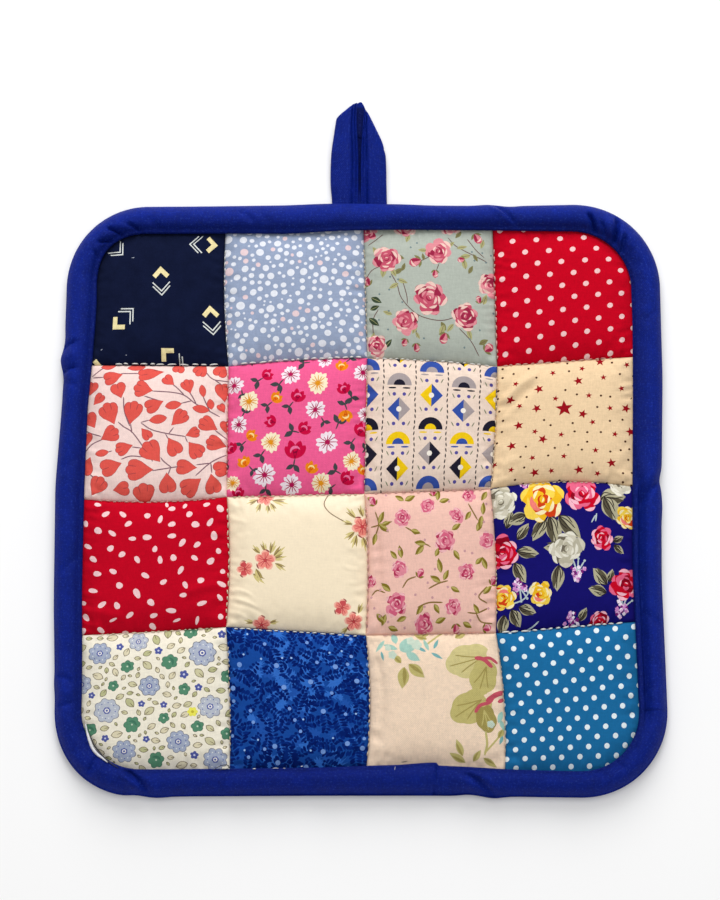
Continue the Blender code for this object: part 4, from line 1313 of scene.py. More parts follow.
frost = []
for _ in range(110):
    spot = (draw.uniform(-25, 25), draw.uniform(-25, 25))
    shape = burst(*spot, draw.uniform(2.0, 4.4), draw.randint(8, 12), draw.uniform(0.4, 0.8),
                  draw.uniform(0, 180))
    frost.append((shape, draw.choice((FROST_LIGHT, (34, 84, 172), (52, 110, 200)))))
for x, y, size in scattered(draw, [2.0] * 150, 0.2, reach=25.5, tries=200):
    for leaflet in feather(x, y, draw.uniform(0, 360), draw.uniform(4.5, 8.0), draw.uniform(1.3, 2.1)):
        frost.append((leaflet, draw.choice((FROST_DARK, (6, 34, 108), (8, 42, 122)))))
for x, y, size in scattered(draw, [0.85] * 16 + [0.6] * 22 + [0.36] * 20, 1.6):
    frost.append((disc(x, y, size), FROST_DOT if size > 0.4 else (160, 196, 244)))
sew_square("frost_blue_square", 1, 0, FROST_MID, frost, grain=-2)


# ==== Beige square with trailing leaves, third in the bottom row
# Heavier beige-cream cotton, mostly bare, with large soft olive leaves at its right and teal sprigs above.
TRAIL_OLIVE, TRAIL_LIT, TRAIL_SHADE, TEAL = (196, 184, 116), (212, 200, 140), (164, 150, 84), (164, 204, 190)
BERRY = (198, 84, 100)


def grape_leaf(x, y, size, turn, tone, vein):
    """A large lobed leaf about x, y with its stalk behind it and three curved veins."""
    ring = []
    for k in range(40):
        t = 2 * math.pi * k / 40
        reach = size * (0.84 + 0.1 * math.cos(2 * t) + 0.09 * abs(math.cos(2.5 * t))
                        - 0.16 * (abs(t - math.pi) < 0.3))
        ring.append((reach * math.cos(t), reach * 0.86 * math.sin(t)))
    parts = [(moved(ring, x, y, turn), tone)]
    for off, reach in ((0, 0.85), (38, 0.62), (-38, 0.62)):
        line = [(-size * 0.6, 0), (0, size * 0.18 * off / 38),
                (size * reach * math.cos(math.radians(off)), size * reach * math.sin(math.radians(off)))]
        parts.append((strand(moved(line, x, y, turn), 0.4), vein))
    return parts


trail = []
trail += grape_leaf(12.6, 13.6, 8.4, 195, TRAIL_LIT, TRAIL_SHADE)
trail += grape_leaf(17, 8, 6.6, 250, TRAIL_OLIVE, TRAIL_SHADE)
trail += grape_leaf(12, -2.6, 7.8, 215, TRAIL_OLIVE, TRAIL_SHADE)
trail += grape_leaf(17, -6.4, 5.0, 280, TRAIL_SHADE, TRAIL_OLIVE)
for line, width in (
    (((14.6, 14.6), (17.6, 14.2), (20.4, 11.4)), 1.5), (((17.4, 14.4), (20, 14.6), (22.4, 12.8)), 1.1),
    (((23.6, 3), (20.6, 1.8), (17.4, -0.6)), 1.7),
    (((20, 1.4), (18.4, -0.8), (15.2, -2), (13.4, -4.6)), 1.2), (((23.4, 0.6), (21.4, -0.6)), 1.3),
):
    trail.append((strand(line, width), BERRY))
for line, width in (
    (((16.8, -11), (17.2, -15.6), (16.4, -19.4)), 0.8), (((23.6, -9), (20.4, -13.6), (16.6, -18.4)), 0.6),
    (((-2, 19.6), (2, 22.4), (4.6, 24)), 0.6),
):
    trail.append((strand(line, width), TRAIL_OLIVE))
for spot in (
    (9, -20.4, 110, 6.4, 2.4), (10, -22.6, 150, 6.4, 2.6), (12.6, -22, 60, 5, 2),
    (16, -20.4, 330, 5.4, 2.2), (-10.6, 11.6, 262, 8, 4.2), (-9, 12.6, 318, 7.4, 4),
    (-11.6, 13, 130, 4, 2.4), (-1.6, 21.6, 160, 5, 2.2), (-3.4, 22.4, 40, 4.6, 2), (21, -13, 60, 4, 2),
    (8.4, 21.8, 30, 5.4, 2.6),
):
    trail.append((leaf(*spot), TRAIL_OLIVE))
    trail.append((leaf(spot[0], spot[1], spot[2] + 5, spot[3] * 0.85, spot[4] * 0.35, 0, 0.08), TRAIL_SHADE))
for spot in (
    (-11.6, 17.4, 20, 7, 3.4), (-11.6, 17.4, 60, 5.4, 2.6), (-9.6, 16.6, 330, 5.6, 3),
    (-12.6, 18, 160, 5.4, 1.8), (-17, 21.4, 230, 5.6, 1.4), (-13, 20, 100, 4.4, 2.4),
    (-1.4, 17.4, 110, 4.6, 1.4), (-2.4, 17, 150, 4, 1.2), (-0.6, 16.6, 330, 4.6, 1.2),
    (0.4, 18, 60, 4, 1.2), (-18.6, 17.4, 280, 3.6, 1.0), (22.6, -3.6, 250, 4.6, 1.8),
    (21.8, -6.6, 290, 4, 1.6), (22.6, -12, 250, 3.4, 1.2),
):
    trail.append((leaf(*spot), TEAL if spot[4] > 1.3 else (122, 178, 178)))
for x, y, size in ((-14.6, 16, 1.6), (-16, 18.6, 1.2), (-5.6, 19.6, 2.0), (-7.6, 21, 1.6), (18.6, -8.4, 1.4)):
    trail.append((scalloped(x, y, size, 5, 0.2), (204, 220, 202)))
HEAVY_COTTON = dict(coarse=0.36, depth=0.35, cloudy=0.07, fuzz=0.4)
TRAIL_FOLDS = ((-21, 20, -21.5, -21, -0.5, 1.5), (22, 12, 22.4, -20, 0.45, 1.5), (-19, 9, -15, 13, 0.3, 1.2))
sew_square("beige_trail_square", 2, 0, (248, 222, 196), trail, HEAVY_COTTON, grain=3, folds=TRAIL_FOLDS)


# ==== Teal square with white dots, bottom right
# Teal-blue cotton with small round white dots on a close slanting lattice.
teal_dots = dot_lattice((3.4, -3), (3.1, 3.2), (2, -0.5), 0.95, (236, 248, 252), 0.95, 20)
sew_square("teal_dot_square", 3, 0, (30, 110, 164), teal_dots, grain=-4)


# ==== Back cloth
# One square of plain blue cotton covers the underside and is quilted through with the same seams.
# It lies flat on the table, is drawn up a little along each seam and runs in under the binding.
BLUE = linear((8, 32, 128))
BLUE_FINISH = dict(
    coarse=0.3, depth=0.5, cloudy=0.25, fuzz=0.8, rough=(0.45, 0.7), shine=0.07, sheen=0.0, lint=0.1)
BACK_CELLS = 164
BACK_THICKNESS = 0.45
# outer edge of the binding where the loop leaves it, from the pad's middle
TOP_EDGE = PANEL_HALF_Y + 10.0


def over_strap(x, y, z):
    """Height z raised where the two ends of the loop's strap lie under the edge."""
    fade = np.clip((28 - np.abs(x)) / 16, 0, 1)
    fade = fade * fade * (3 - 2 * fade) * (y > 0)
    return z + 1.9 * fade * np.clip(1 - z / 7.9, 0, 1)


def quads_between(count_u, count_v, first=0, closed_u=False):
    """Faces of a grid of points stored row by row, count_u to a row."""
    at = first + np.arange(count_u * count_v).reshape(count_v, count_u)
    ahead = np.roll(at, -1, axis=1) if closed_u else at[:, 1:]
    here = at if closed_u else at[:, :-1]
    return np.stack([here[:-1], ahead[:-1], ahead[1:], here[1:]], axis=-1).reshape(-1, 4)


def blue_piece(name, points, faces, threads, sharp=60.0, fade=None):
    """A piece of plain blue cotton; threads gives each point's place along and across the weave in mm.

    fade scales the dye at each point, where 1 is the colour of the flat cloth; it paints light and shade into
    the binding and the loop's slit.
    """
    mesh = bpy.data.meshes.new(name)
    mesh.from_pydata(np.asarray(points).tolist(), [], [list(map(int, face)) for face in faces])
    corners = np.concatenate([np.asarray(face) for face in faces]).astype(int)
    material = woven(bpy.data.materials.new(name + "_cotton"), **BLUE_FINISH)
    fade = np.ones(len(points)) if fade is None else np.asarray(fade)
    dress(mesh, np.asarray(threads)[corners] / 10, BLUE * fade[corners][:, None], material,
          np.arange(len(corners)))
    mesh.set_sharp_from_angle(angle=math.radians(sharp))
    piece = bpy.data.objects.new(name, mesh)
    bpy.context.scene.collection.objects.link(piece)
    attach(piece, "root")
    return piece


def lay_back():
    """Top and underside points of the back cloth, and their places on its flat cut."""
    steps = np.linspace(-0.05, 4.05, BACK_CELLS + 1)
    a, b = np.meshgrid(steps, steps)
    flat = plan(a, b)
    # Points beyond the raw edge slide back onto it, towards the middle of their corner.
    beyond = np.clip(-(room_inside(flat) + 2.2), 0, None)[..., None]
    inset = np.array([PANEL_HALF_X - PANEL_CORNER, PANEL_HALF_Y - PANEL_CORNER])
    centre = np.clip(flat, -inset, inset)
    reach = np.maximum(np.linalg.norm(flat - centre, axis=-1, keepdims=True), 1e-6)
    flat = (flat - (flat - centre) / reach * beyond).reshape(-1, 2)
    room = room_inside(flat)
    seam = (np.minimum(np.abs(a - np.round(a)), np.abs(b - np.round(b))) * SQUARE).ravel()
    drawn = 0.9 * np.exp(-(seam / 1.5) ** 2) * np.clip(room / 3, 0, 1)
    tucked = np.clip(0.5 - room / 1.5, 0, 1)
    lift = drawn + 0.65 * tucked
    lift = lift + (over_strap(flat[:, 0], flat[:, 1], lift) - lift) * tucked
    spot = np.column_stack([PAD_X + flat[:, 0] * MM, PAD_Y + flat[:, 1] * MM])
    return np.column_stack([spot, (lift + BACK_THICKNESS) * MM]), np.column_stack([spot, lift * MM]), flat


back_top, back_under, back_flat = lay_back()
BACK_COUNT = BACK_CELLS + 1
back_faces = list(quads_between(BACK_COUNT, BACK_COUNT))
back_faces += [face[::-1] for face in quads_between(BACK_COUNT, BACK_COUNT, BACK_COUNT ** 2)]
at = np.arange(BACK_COUNT ** 2).reshape(BACK_COUNT, BACK_COUNT)
back_rim = np.concatenate([at[0, :-1], at[:-1, -1], at[-1, :0:-1], at[:0:-1, 0]])
for i, j in zip(back_rim, np.roll(back_rim, -1)):
    back_faces.append([j, i, i + BACK_COUNT ** 2, j + BACK_COUNT ** 2])
back_cloth = blue_piece("back_cloth", np.vstack([back_top, back_under]), back_faces,
                        np.vstack([back_flat] * 2))
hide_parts("quilted_pad")


# ==== Edge binding
# A strip of blue cotton folded over the raw edge and its wadding, felled down by hand front and back.
# It is full and rounded, gathers into small creases at the corners and is joined at the bottom edge.
BINDING_WIDTH = 10.0
BINDING_CLOTH = 0.5
SIDE_STATIONS, CORNER_STATIONS = 196, 96
# share of the width out from the inner edge, height
BINDING_FRONT = (
    (0.24, 3.7), (0.14, 3.6), (0.05, 3.6), (0.0, 3.85), (-0.005, 4.35), (0.03, 4.85), (0.085, 5.05),
    (0.14, 5.45), (0.2, 6.2), (0.28, 6.95), (0.38, 7.5), (0.5, 7.8), (0.62, 7.8), (0.73, 7.4), (0.83, 6.7),
    (0.91, 5.75), (0.97, 4.7), (1.0, 3.75),
)
BINDING_UNDER = (
    (0.99, 2.8), (0.955, 1.9), (0.9, 1.1), (0.82, 0.5), (0.7, 0.1), (0.5, 0.0), (0.3, 0.0), (0.12, 0.02),
    (0.05, 0.3), (0.09, 0.56), (0.22, 0.62),
)
# how far the fullness leans in towards the pad, by bearing, in mm
BINDING_LEAN = ((0, 0.5), (40, 0.4), (60, 0.7), (90, 0.8), (120, 0.8), (150, 0.8), (180, 0.8), (215, 1.6),
                (240, 2.6), (270, 2.9), (300, 2.6), (325, 1.4))
# from x, y to x, y on the pad, rise in mm (a hollow is negative) and half width
BINDING_FOLDS = (
    # top left corner: the cloth is drawn together along the inner curve
    (-89.4, 94.4, -80.6, 90.1, -0.5, 0.6), (-81.4, 95.6, -75.7, 92.1, -0.4, 0.6),
    (-93.1, 88.4, -83.3, 89.4, -0.4, 0.6), (-86.8, 96.0, -78.7, 91.5, 0.25, 1.1),
    (-91.4, 91.5, -83.7, 90.3, 0.2, 1.0), (-95.3, 86.8, -89.4, 81.3, -0.25, 1.0),
    (-74.7, 98.1, -69.6, 92.9, -0.35, 1.4), (-91.9, 88.7, -85.0, 89.8, -0.9, 0.42),
    (-88.9, 93.9, -81.3, 90.7, -0.9, 0.42), (-82.0, 96.0, -75.9, 92.6, -0.8, 0.42),
    (-92.6, 86.4, -91.6, 82.1, -0.5, 0.5),
    # top right corner
    (79.4, 100.3, 82.9, 89.9, -1.96, 0.72), (89.8, 99.5, 88.1, 86.2, -2.03, 0.77),
    (92.6, 92.5, 89.8, 82.3, -1.35, 0.85), (84.1, 97.0, 85.5, 89.9, -0.94, 0.51),
    (87.3, 98.7, 85.7, 88.4, 0.6, 1.3), (94.7, 87.8, 92.1, 79.6, -0.4, 1.2),
    # the fold along the top
    (46.7, 103.0, 54.9, 94.6, -1.0, 0.75), (44.3, 102.8, 53.1, 94.4, 0.5, 1.1),
    (-42.9, 100.6, -36.3, 95.0, -0.55, 1.1),
    # bottom left corner and the twist beside it
    (-80.2, -93.0, -70.4, -102.3, -1.35, 0.9), (-82.3, -94.0, -73.1, -102.9, 0.55, 1.3),
    (-88.4, -88.3, -92.2, -95.9, -0.65, 0.9), (-86.1, -88.8, -89.6, -96.8, 0.3, 1.0),
    (-77.2, -93.4, -68.3, -101.0, 0.35, 1.2),
    # the twist right of the join
    (33.6, -94.2, 46.3, -103.6, -1.15, 0.9), (36.5, -94.0, 48.4, -102.7, 0.55, 1.2),
    (31.5, -95.8, 40.7, -102.9, 0.35, 1.1),
    # creases down both sides
    (95.5, -5.1, 104.3, 5.8, -1.0, 0.9), (94.4, -0.9, 103.5, 9.3, 0.4, 1.2),
    (-103.4, 51.1, -96.9, 53.9, -0.9, 0.7), (-103.9, 42.6, -96.7, 44.6, -0.9, 0.7),
    (-105.4, 46.6, -96.0, 48.9, 0.6, 2.2), (-103.3, 39.2, -96.3, 37.2, -0.4, 1.2),
    (-103.1, -61.9, -96.2, -65.2, -0.6, 0.9), (-103.0, -67.6, -96.1, -68.6, 0.35, 1.2),
    (-102.4, -72.9, -95.6, -71.5, -0.5, 1.0), (-101.9, -28.0, -95.6, -21.2, -0.35, 1.3),
    (-103.1, 7.4, -96.3, 13.3, -0.3, 1.5), (98.2, 59.4, 104.3, 65.4, -0.35, 1.3),
    (95.7, -39.7, 102.5, -46.5, -0.4, 1.4), (93.6, -70.5, 101.1, -64.8, -0.35, 1.3),
    (83.6, -89.1, 89.8, -94.8, -0.45, 1.0), (77.7, -91.5, 82.9, -98.1, -0.35, 1.2),
    (-30.3, 95.0, -36.4, 102.2, -0.35, 1.4), (24.3, 102.2, 30.3, 95.5, -0.35, 1.3),
    (9.7, -93.4, 5.8, -101.0, -0.35, 1.3), (-42.7, -93.4, -48.5, -101.4, -0.45, 1.2),
    (-21.4, -93.9, -17.4, -101.0, -0.3, 1.2),
)
# x, y on the outer edge, how far it bulges and over what half length
EDGE_BULGES = (
    (-104.8, 47.5, 1.5, 3.6), (-104.5, 55.5, -0.3, 2.5), (-105.2, 40.3, -0.3, 2.5),
    (103.7, 5.3, -0.75, 3.0), (103.8, -4.0, 0.3, 4.0), (-75.9, -101.4, -0.6, 3.4),
    (-68.1, -103.1, 0.4, 4.0), (36.5, -102.4, -0.45, 4.0), (45.2, -103.1, 0.6, 3.8),
    (44.6, 104.5, 0.45, 4.0), (52.8, 104.2, -0.3, 3.0), (-102.4, -64.5, 0.3, 3.0),
)
# Painted light and shade: the dye is made darker on the slope beside the patches and lighter along the crown,
# the same all round.
SLOPE_PAINTED_SHADE, CROWN_PAINTED_LIGHT = 0.65, 1.1
CROWN_SHARE = 0.6            # how far out the crown lies
SLIT_PAINTED_SHADE = 0.5               # painted shade on the cloth down in the loop's slit
JOIN_X = 25.6                # the strip's two ends meet here on the bottom edge


def binding_stations():
    """Centre that each station turns about, its bearing and its distance along the edge, anticlockwise."""
    inset = np.array([PANEL_HALF_X - PANEL_CORNER, PANEL_HALF_Y - PANEL_CORNER])
    centres = [inset * quarter for quarter in ((1, 1), (-1, 1), (-1, -1), (1, -1))]
    stations, run = [], 0.0
    for quarter in range(4):
        before, here = centres[quarter - 1], centres[quarter]
        bearing = math.radians(90 * quarter)
        side = float(np.linalg.norm(here - before))
        for step in range(SIDE_STATIONS):
            stations.append((*(before + (here - before) * step / SIDE_STATIONS), bearing,
                             run + side * step / SIDE_STATIONS))
        run += side
        arc = (PANEL_CORNER + BINDING_WIDTH / 2) * math.pi / 2
        for step in range(CORNER_STATIONS):
            share = step / CORNER_STATIONS
            stations.append((*here, bearing + math.pi / 2 * share, run + arc * share))
        run += arc
    return np.array(stations)


def smooth_line(marks, per_span):
    """Points of a smooth curve through marks, per_span to a span."""
    marks = np.asarray(marks, float)
    ends = np.vstack([2 * marks[0] - marks[1], marks, 2 * marks[-1] - marks[-2]])
    line = []
    for before, here, ahead, after in zip(ends, ends[1:], ends[2:], ends[3:]):
        for step in range(per_span):
            t = step / per_span
            line.append(0.5 * (2 * here + (ahead - before) * t
                               + (2 * before - 5 * here + 4 * ahead - after) * t ** 2
                               + (3 * here - before - 3 * ahead + after) * t ** 3))
    return np.array(line + [marks[-1]])


def binding_surface(stations, share, height, under=0.0):
    """Places of the binding's points in metres, from the share and height of each section point.

    under is how far a face lies beneath the cloth's outer face, in mm.
    """
    share = share[:, None]
    x0, y0, bearing, run = (stations[None, :, k] for k in range(4))
    ux, uy = np.cos(bearing), np.sin(bearing)
    near = PANEL_CORNER + BINDING_WIDTH * share
    rough = np.degrees(np.arctan2(y0 + near * uy, x0 + near * ux))
    stray = drift(rough, INNER_DRIFT) * (1 - share) + drift(rough, OUTER_DRIFT) * share
    x, y = x0 + (near + stray) * ux, y0 + (near + stray) * uy
    for bulge_x, bulge_y, rise, reach in EDGE_BULGES:
        near = rise * share * np.exp(-((x - bulge_x) ** 2 + (y - bulge_y) ** 2) / reach ** 2)
        x, y = x + near * ux, y + near * uy
    z = np.repeat(height[:, None], x.shape[1], axis=1)
    front = np.clip((z - 3.0) / 2.0, 0, 1)
    # The seam allowance of the felled edge makes a narrow flat ledge down the lower right side.
    ledge = np.clip((7 - y) / 5, 0, 1) * np.clip((y + 84) / 10, 0, 1) * (x > 60)
    stepped = np.interp(share, (0.0, 0.03, 0.07, 0.17, 0.2, 0.25, 0.34, 0.44, 0.56),
                        (3.9, 4.7, 5.0, 5.1, 4.5, 4.1, 5.5, 7.0, 7.9))
    z = z + front * ledge * (share < 0.56) * np.minimum(stepped - under - z, 0)
    # Above it the cloth is drawn tight and falls straight to the patches.
    tight = np.clip((y - 9) / 5, 0, 1) * np.clip((90 - y) / 10, 0, 1) * (x > 60)
    steep = np.interp(share, (0.03, 0.07, 0.12, 0.2, 0.3, 0.42, 0.56), (4.6, 5.35, 5.8, 6.2, 6.75, 7.4, 7.85))
    z = z + front * tight * (share > 0.02) * (share < 0.56) * (steep - under - z)
    lean = np.interp(rough, *zip(*BINDING_LEAN), period=360)
    z = z + front * lean * (0.42 - share) * 1.7
    crown = np.clip(1 - ((share - 0.5) / 0.55) ** 2, 0, 1)
    ripple = 0.17 * np.sin(run / 9.1 + 1.0) + 0.13 * np.sin(run / 4.3 + 2.0 * share)
    ripple = ripple + 0.1 * np.sin(run / 2.6 + 0.5 + share) + 0.06 * np.sin(run / 1.1 + 5 * share)
    z = z + front * (crown * ripple + 1.5 * np.clip(share / 0.22, 0.15, 1) * fold_height(x, y, BINDING_FOLDS))
    felling = np.exp(-np.clip(share, 0, 1) / 0.1)
    z = z - front * 0.3 * felling * np.sin(run * math.pi / 2.6 + 1.4 * np.sin(run / 13)) ** 2
    beside = x - JOIN_X - 0.08 * (y + 95.4)
    join = (np.abs(beside) < 12) & (y < -80)
    y = y + join * (1 - share) * np.where(beside < 0, 0.65 * np.clip(1 + beside / 12, 0, 1),
                                          -0.3 * np.clip(1 - beside / 12, 0, 1))
    z = z - front * join * (0.8 * np.exp(-(beside / 0.4) ** 2) - 0.3 * np.exp(-((beside + 1.2) / 0.9) ** 2))
    z = np.maximum(over_strap(x, y, z), 0)
    return np.stack([PAD_X + x * MM, PAD_Y + y * MM, z * MM], axis=-1)


stations = binding_stations()
section = np.vstack([smooth_line(BINDING_FRONT, 2), BINDING_UNDER])
outer_face = binding_surface(stations, section[:, 0], section[:, 1])
# The cloth's inner face follows the outer one at the cloth's thickness.
along_section = np.gradient(section * (BINDING_WIDTH, 1), axis=0)
along_section /= np.linalg.norm(along_section, axis=1, keepdims=True)
inward = np.column_stack([along_section[:, 1], -along_section[:, 0]])
inner_section = section * (BINDING_WIDTH, 1) + inward * BINDING_CLOTH
inner_section = inner_section[::2] / (BINDING_WIDTH, 1)
inner_face = binding_surface(stations, inner_section[:, 0], inner_section[:, 1], BINDING_CLOTH)
binding_points = np.concatenate([outer_face, inner_face[::-1]])
binding_faces = quads_between(len(stations), len(binding_points), 0, True)
last_row = (len(binding_points) - 1) * len(stations)
closing = [[last_row + k, last_row + (k + 1) % len(stations), (k + 1) % len(stations), k]
           for k in range(len(stations))]
across = np.concatenate([[0],
                         np.cumsum(np.linalg.norm(np.diff(section * (BINDING_WIDTH, 1), axis=0), axis=1))])
across = np.concatenate([across, across[::-2][:len(inner_section)]])
binding_threads = np.stack(np.meshgrid(stations[:, 3], across), axis=-1).reshape(-1, 2)
# Painted light and shade on the binding's front: darker on the inner slope, lighter out to the crown, plain
# dye below the front.
painted_light_by_share = SLOPE_PAINTED_SHADE + (CROWN_PAINTED_LIGHT - SLOPE_PAINTED_SHADE) * np.clip(section[:, 0] / CROWN_SHARE, 0, 1)
on_top = np.clip(outer_face[..., 2] / MM / 3.5, 0, 1)
outer_painted_light = 1 + (painted_light_by_share[:, None] - 1) * on_top
binding_painted_light = np.concatenate([outer_painted_light.ravel(), np.ones(inner_face.shape[0] * len(stations))])
edge_binding = blue_piece("edge_binding_cloth", binding_points.reshape(-1, 3),
                          [f[::-1] for f in list(binding_faces) + closing],
                          binding_threads, sharp=70.0, fade=binding_painted_light)
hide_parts("edge_binding")


# ==== Hanging loop
# A strip of the same blue cotton folded in four and topstitched into a flat strap, bent over at the top
# so that its two legs lie side by side. Both ends are sewn in behind the binding's top edge.
STRAP_CELLS = 28
# across the strap: outer x and y, inner x and y, from the middle of the binding's top edge; then the height
# of its middle over the table and its thickness
LEFT_LEG = (
    (-9.8, -8.3, -0.62, -8.3, 0.8, 1.6), (-9.85, 1.6, -0.62, 1.6, 0.85, 1.7),
    (-10.35, 7.4, -0.45, 8.5, 1.45, 2.4), (-10.4, 13.8, -0.45, 15.9, 2.1, 2.4),
    (-10.1, 19.5, -0.7, 23.3, 2.8, 2.4), (-9.4, 24.8, -1.1, 30.7, 3, 2.2), (-8.5, 31.1, -0.9, 37.7, 3, 2),
)
RIGHT_LEG = (
    (9.5, -8.3, 0.24, -8.3, 0.8, 1.6), (9.5, 0.4, 0.24, 0.4, 0.85, 1.7), (9.35, 8.5, 0.22, 10.6, 1.7, 2.4),
    (9.25, 15.4, 0.3, 20.1, 2.6, 2.4), (9.0, 18.7, 0.85, 28.6, 3, 2.2), (8.5, 20.3, 1.35, 35.6, 3, 2),
)
# The stretch that passes behind from one bend to the other.
BEHIND = (
    (-8.2, 30.5, -1.0, 38.0, 0.7, 1.2), (-4.4, 27.8, -0.2, 38.7, 0.7, 1.2), (0.5, 25, 0.6, 38.6, 0.7, 1.2),
    (4.6, 22.5, 1.4, 37.4, 0.7, 1.2), (7.8, 20.4, 1.9, 35.9, 0.7, 1.2),
)
strap_points, strap_faces, strap_threads = [], [], []


def lay_strap(marks, topstitched):
    """One flat stretch of the strap, its last end rounded where it bends over."""
    ribs = [(rib, 1.0, 0.0) for rib in smooth_line(marks, 6)]
    for t in (0.3, 0.55, 0.75, 0.9, 0.98, 1.0):
        ribs.append((ribs[-1][0], math.sqrt(max(1 - t * t, 0.0004)), 0.75 * t))
    share = np.linspace(0, 1, STRAP_CELLS + 1)
    share = share - 0.07 * np.sin(2 * np.pi * share)          # closer points beside both edges
    first, run = len(strap_points), 0.0
    last = None
    for (ox, oy, ix, iy, middle, thick), swell, beyond in ribs:
        outer, inner = np.array([ox, oy + TOP_EDGE, middle]), np.array([ix, iy + TOP_EDGE, middle])
        width = math.dist(outer, inner)
        out = np.array([outer[1] - inner[1], inner[0] - outer[0], 0]) / width
        out = out if out[1] > 0 else -out
        centre = (outer + inner) / 2
        run += 0 if last is None else float(np.linalg.norm(centre - last))
        last = centre
        from_inner = (1 - share) * width
        half = thick / 2 * swell * (1 - np.abs(2 * share - 1) ** 10) ** 0.5
        # Two rows of topstitching run beside the inner edge, and the cloth puffs between its folds.
        groove = 0.8 * np.exp(-((from_inner - 0.95) / 0.28) ** 2)
        groove = groove + 1.0 * np.exp(-((from_inner - 2.3) / 0.36) ** 2)
        puff = 0.25 * np.sin(np.pi * np.clip((from_inner - 2.7) / max(width - 2.7, 1), 0, 1))
        puff += 0.08 * np.sin(run / 2.1 + 4 * share) * np.clip((from_inner - 3) / 3, 0, 1)
        relief = (puff - groove) * swell * topstitched
        ends = 1 - np.abs(2 * share - 1) ** 5
        line = [outer + (inner - outer) * s + out * beyond * e for s, e in zip(share, ends)]
        up = np.array([0, 0, 1.0])
        strap_points.extend(spot + up * (h + r) for spot, h, r in zip(line, half, relief))
        strap_points.extend(spot - up * h for spot, h in zip(line[-2:0:-1], half[-2:0:-1]))
        strap_threads.extend((run, s * width) for s in list(share) + list(share[-2:0:-1]))
    ring = 2 * STRAP_CELLS
    grid = [list(map(int, face)) for face in quads_between(ring, len(ribs), first, True)]
    end = first + (len(ribs) - 1) * ring
    grid += [list(range(first, first + ring))[::-1], list(range(end, end + ring))]
    turned = (marks[0][2] - marks[0][0]) * (marks[-1][1] + marks[-1][3] - marks[0][1] - marks[0][3]) < 0
    strap_faces.extend(face[::-1] for face in grid) if turned else strap_faces.extend(grid)


lay_strap(LEFT_LEG, 1.0)
lay_strap(RIGHT_LEG, 1.0)
legs_end = len(strap_points)
lay_strap(BEHIND, 0.0)
# The turned-in edges of the strip meet low down between the two legs.
lay_strap(((-1.9, -8.3, 1.7, -8.3, 0.3, 0.3), (-1.9, 5, 1.7, 5, 0.35, 0.3), (-1.9, 16, 1.7, 16, 0.6, 0.3),
           (-1.9, 28.6, 1.7, 28.6, 0.6, 0.3)), 0.0)
strap_points = np.array(strap_points)
strap_points[:, 2] = np.maximum(strap_points[:, 2], 0)
# Painted shade: the cloth down in the slit between the legs is given a darker dye.
x, y, z = strap_points.T
in_slit = (np.arange(len(x)) >= legs_end) & (np.abs(x - 0.2) < 2.4) & (y < TOP_EDGE + 36.6) & (z > 0.5)
strap_painted_shade = np.where(in_slit, SLIT_PAINTED_SHADE, 1.0)
strap_points = strap_points * MM + (PAD_X, PAD_Y, 0)
hanging_loop = blue_piece("hanging_loop_strap", strap_points, strap_faces, strap_threads, fade=strap_painted_shade)
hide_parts("hanging_loop")




# ==== Quilting stitches
# Small running stitches in cream thread sit down in every seam, front and back, worked by hand.
THREAD_RING = 6


def lay_thread(marks, radii, points, faces):
    """A closed round thread along marks in mm, with its radius at each."""
    marks = np.asarray(marks, float)
    along = np.gradient(marks, axis=0)
    across = np.cross((0, 0, 1), along)
    across /= np.linalg.norm(across, axis=1, keepdims=True)
    first, last = len(points), len(marks) - 1
    for mark, side, radius in zip(marks, across, radii):
        for corner in range(THREAD_RING):
            turn = 2 * math.pi * corner / THREAD_RING
            points.append(mark + radius * (side * math.cos(turn) + np.array([0, 0, math.sin(turn)])))
    for k in range(last):
        for corner in range(THREAD_RING):
            here = first + k * THREAD_RING + corner
            beside = first + k * THREAD_RING + (corner + 1) % THREAD_RING
            faces.append([here, here + THREAD_RING, beside + THREAD_RING, beside])
    faces.append(list(range(first, first + THREAD_RING)))
    faces.append(list(range(first + last * THREAD_RING, first + (last + 1) * THREAD_RING))[::-1])


def thread_piece(name, points, faces, colour):
    """One mesh of laid threads in softly twisted cotton."""
    mesh = bpy.data.meshes.new(name)
    spots = np.array(points) * MM + (PAD_X, PAD_Y, 0)
    mesh.from_pydata(spots.tolist(), [], faces)
    mesh.shade_smooth()
    thread = bpy.data.materials.new(name + "_thread")
    thread.use_nodes = True
    nodes, links = thread.node_tree.nodes, thread.node_tree.links
    shader = nodes["Principled BSDF"]
    shader.inputs["Roughness"].default_value = 0.65
    shader.inputs["Sheen Weight"].default_value = 0.2
    twist = nodes.new("ShaderNodeTexNoise")
    twist.inputs["Scale"].default_value = 2600
    lit = nodes.new("ShaderNodeValToRGB")
    colour = linear(colour)
    lit.color_ramp.elements[0].position, lit.color_ramp.elements[0].color = 0.3, (*(colour * 0.72), 1)
    lit.color_ramp.elements[1].position, lit.color_ramp.elements[1].color = 0.7, (*colour, 1)
    place = nodes.new("ShaderNodeTexCoord")
    links.new(place.outputs["Object"], twist.inputs["Vector"])
    links.new(twist.outputs["Fac"], lit.inputs["Fac"])
    links.new(lit.outputs["Color"], shader.inputs["Base Color"])
    bump = nodes.new("ShaderNodeBump")
    bump.inputs["Strength"].default_value = 0.3
    bump.inputs["Distance"].default_value = 0.0001
    links.new(twist.outputs["Fac"], bump.inputs["Height"])
    links.new(bump.outputs[0], shader.inputs["Normal"])
    mesh.materials.append(thread)
    piece = bpy.data.objects.new(name, mesh)
    bpy.context.scene.collection.objects.link(piece)
    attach(piece, "root")
    return piece


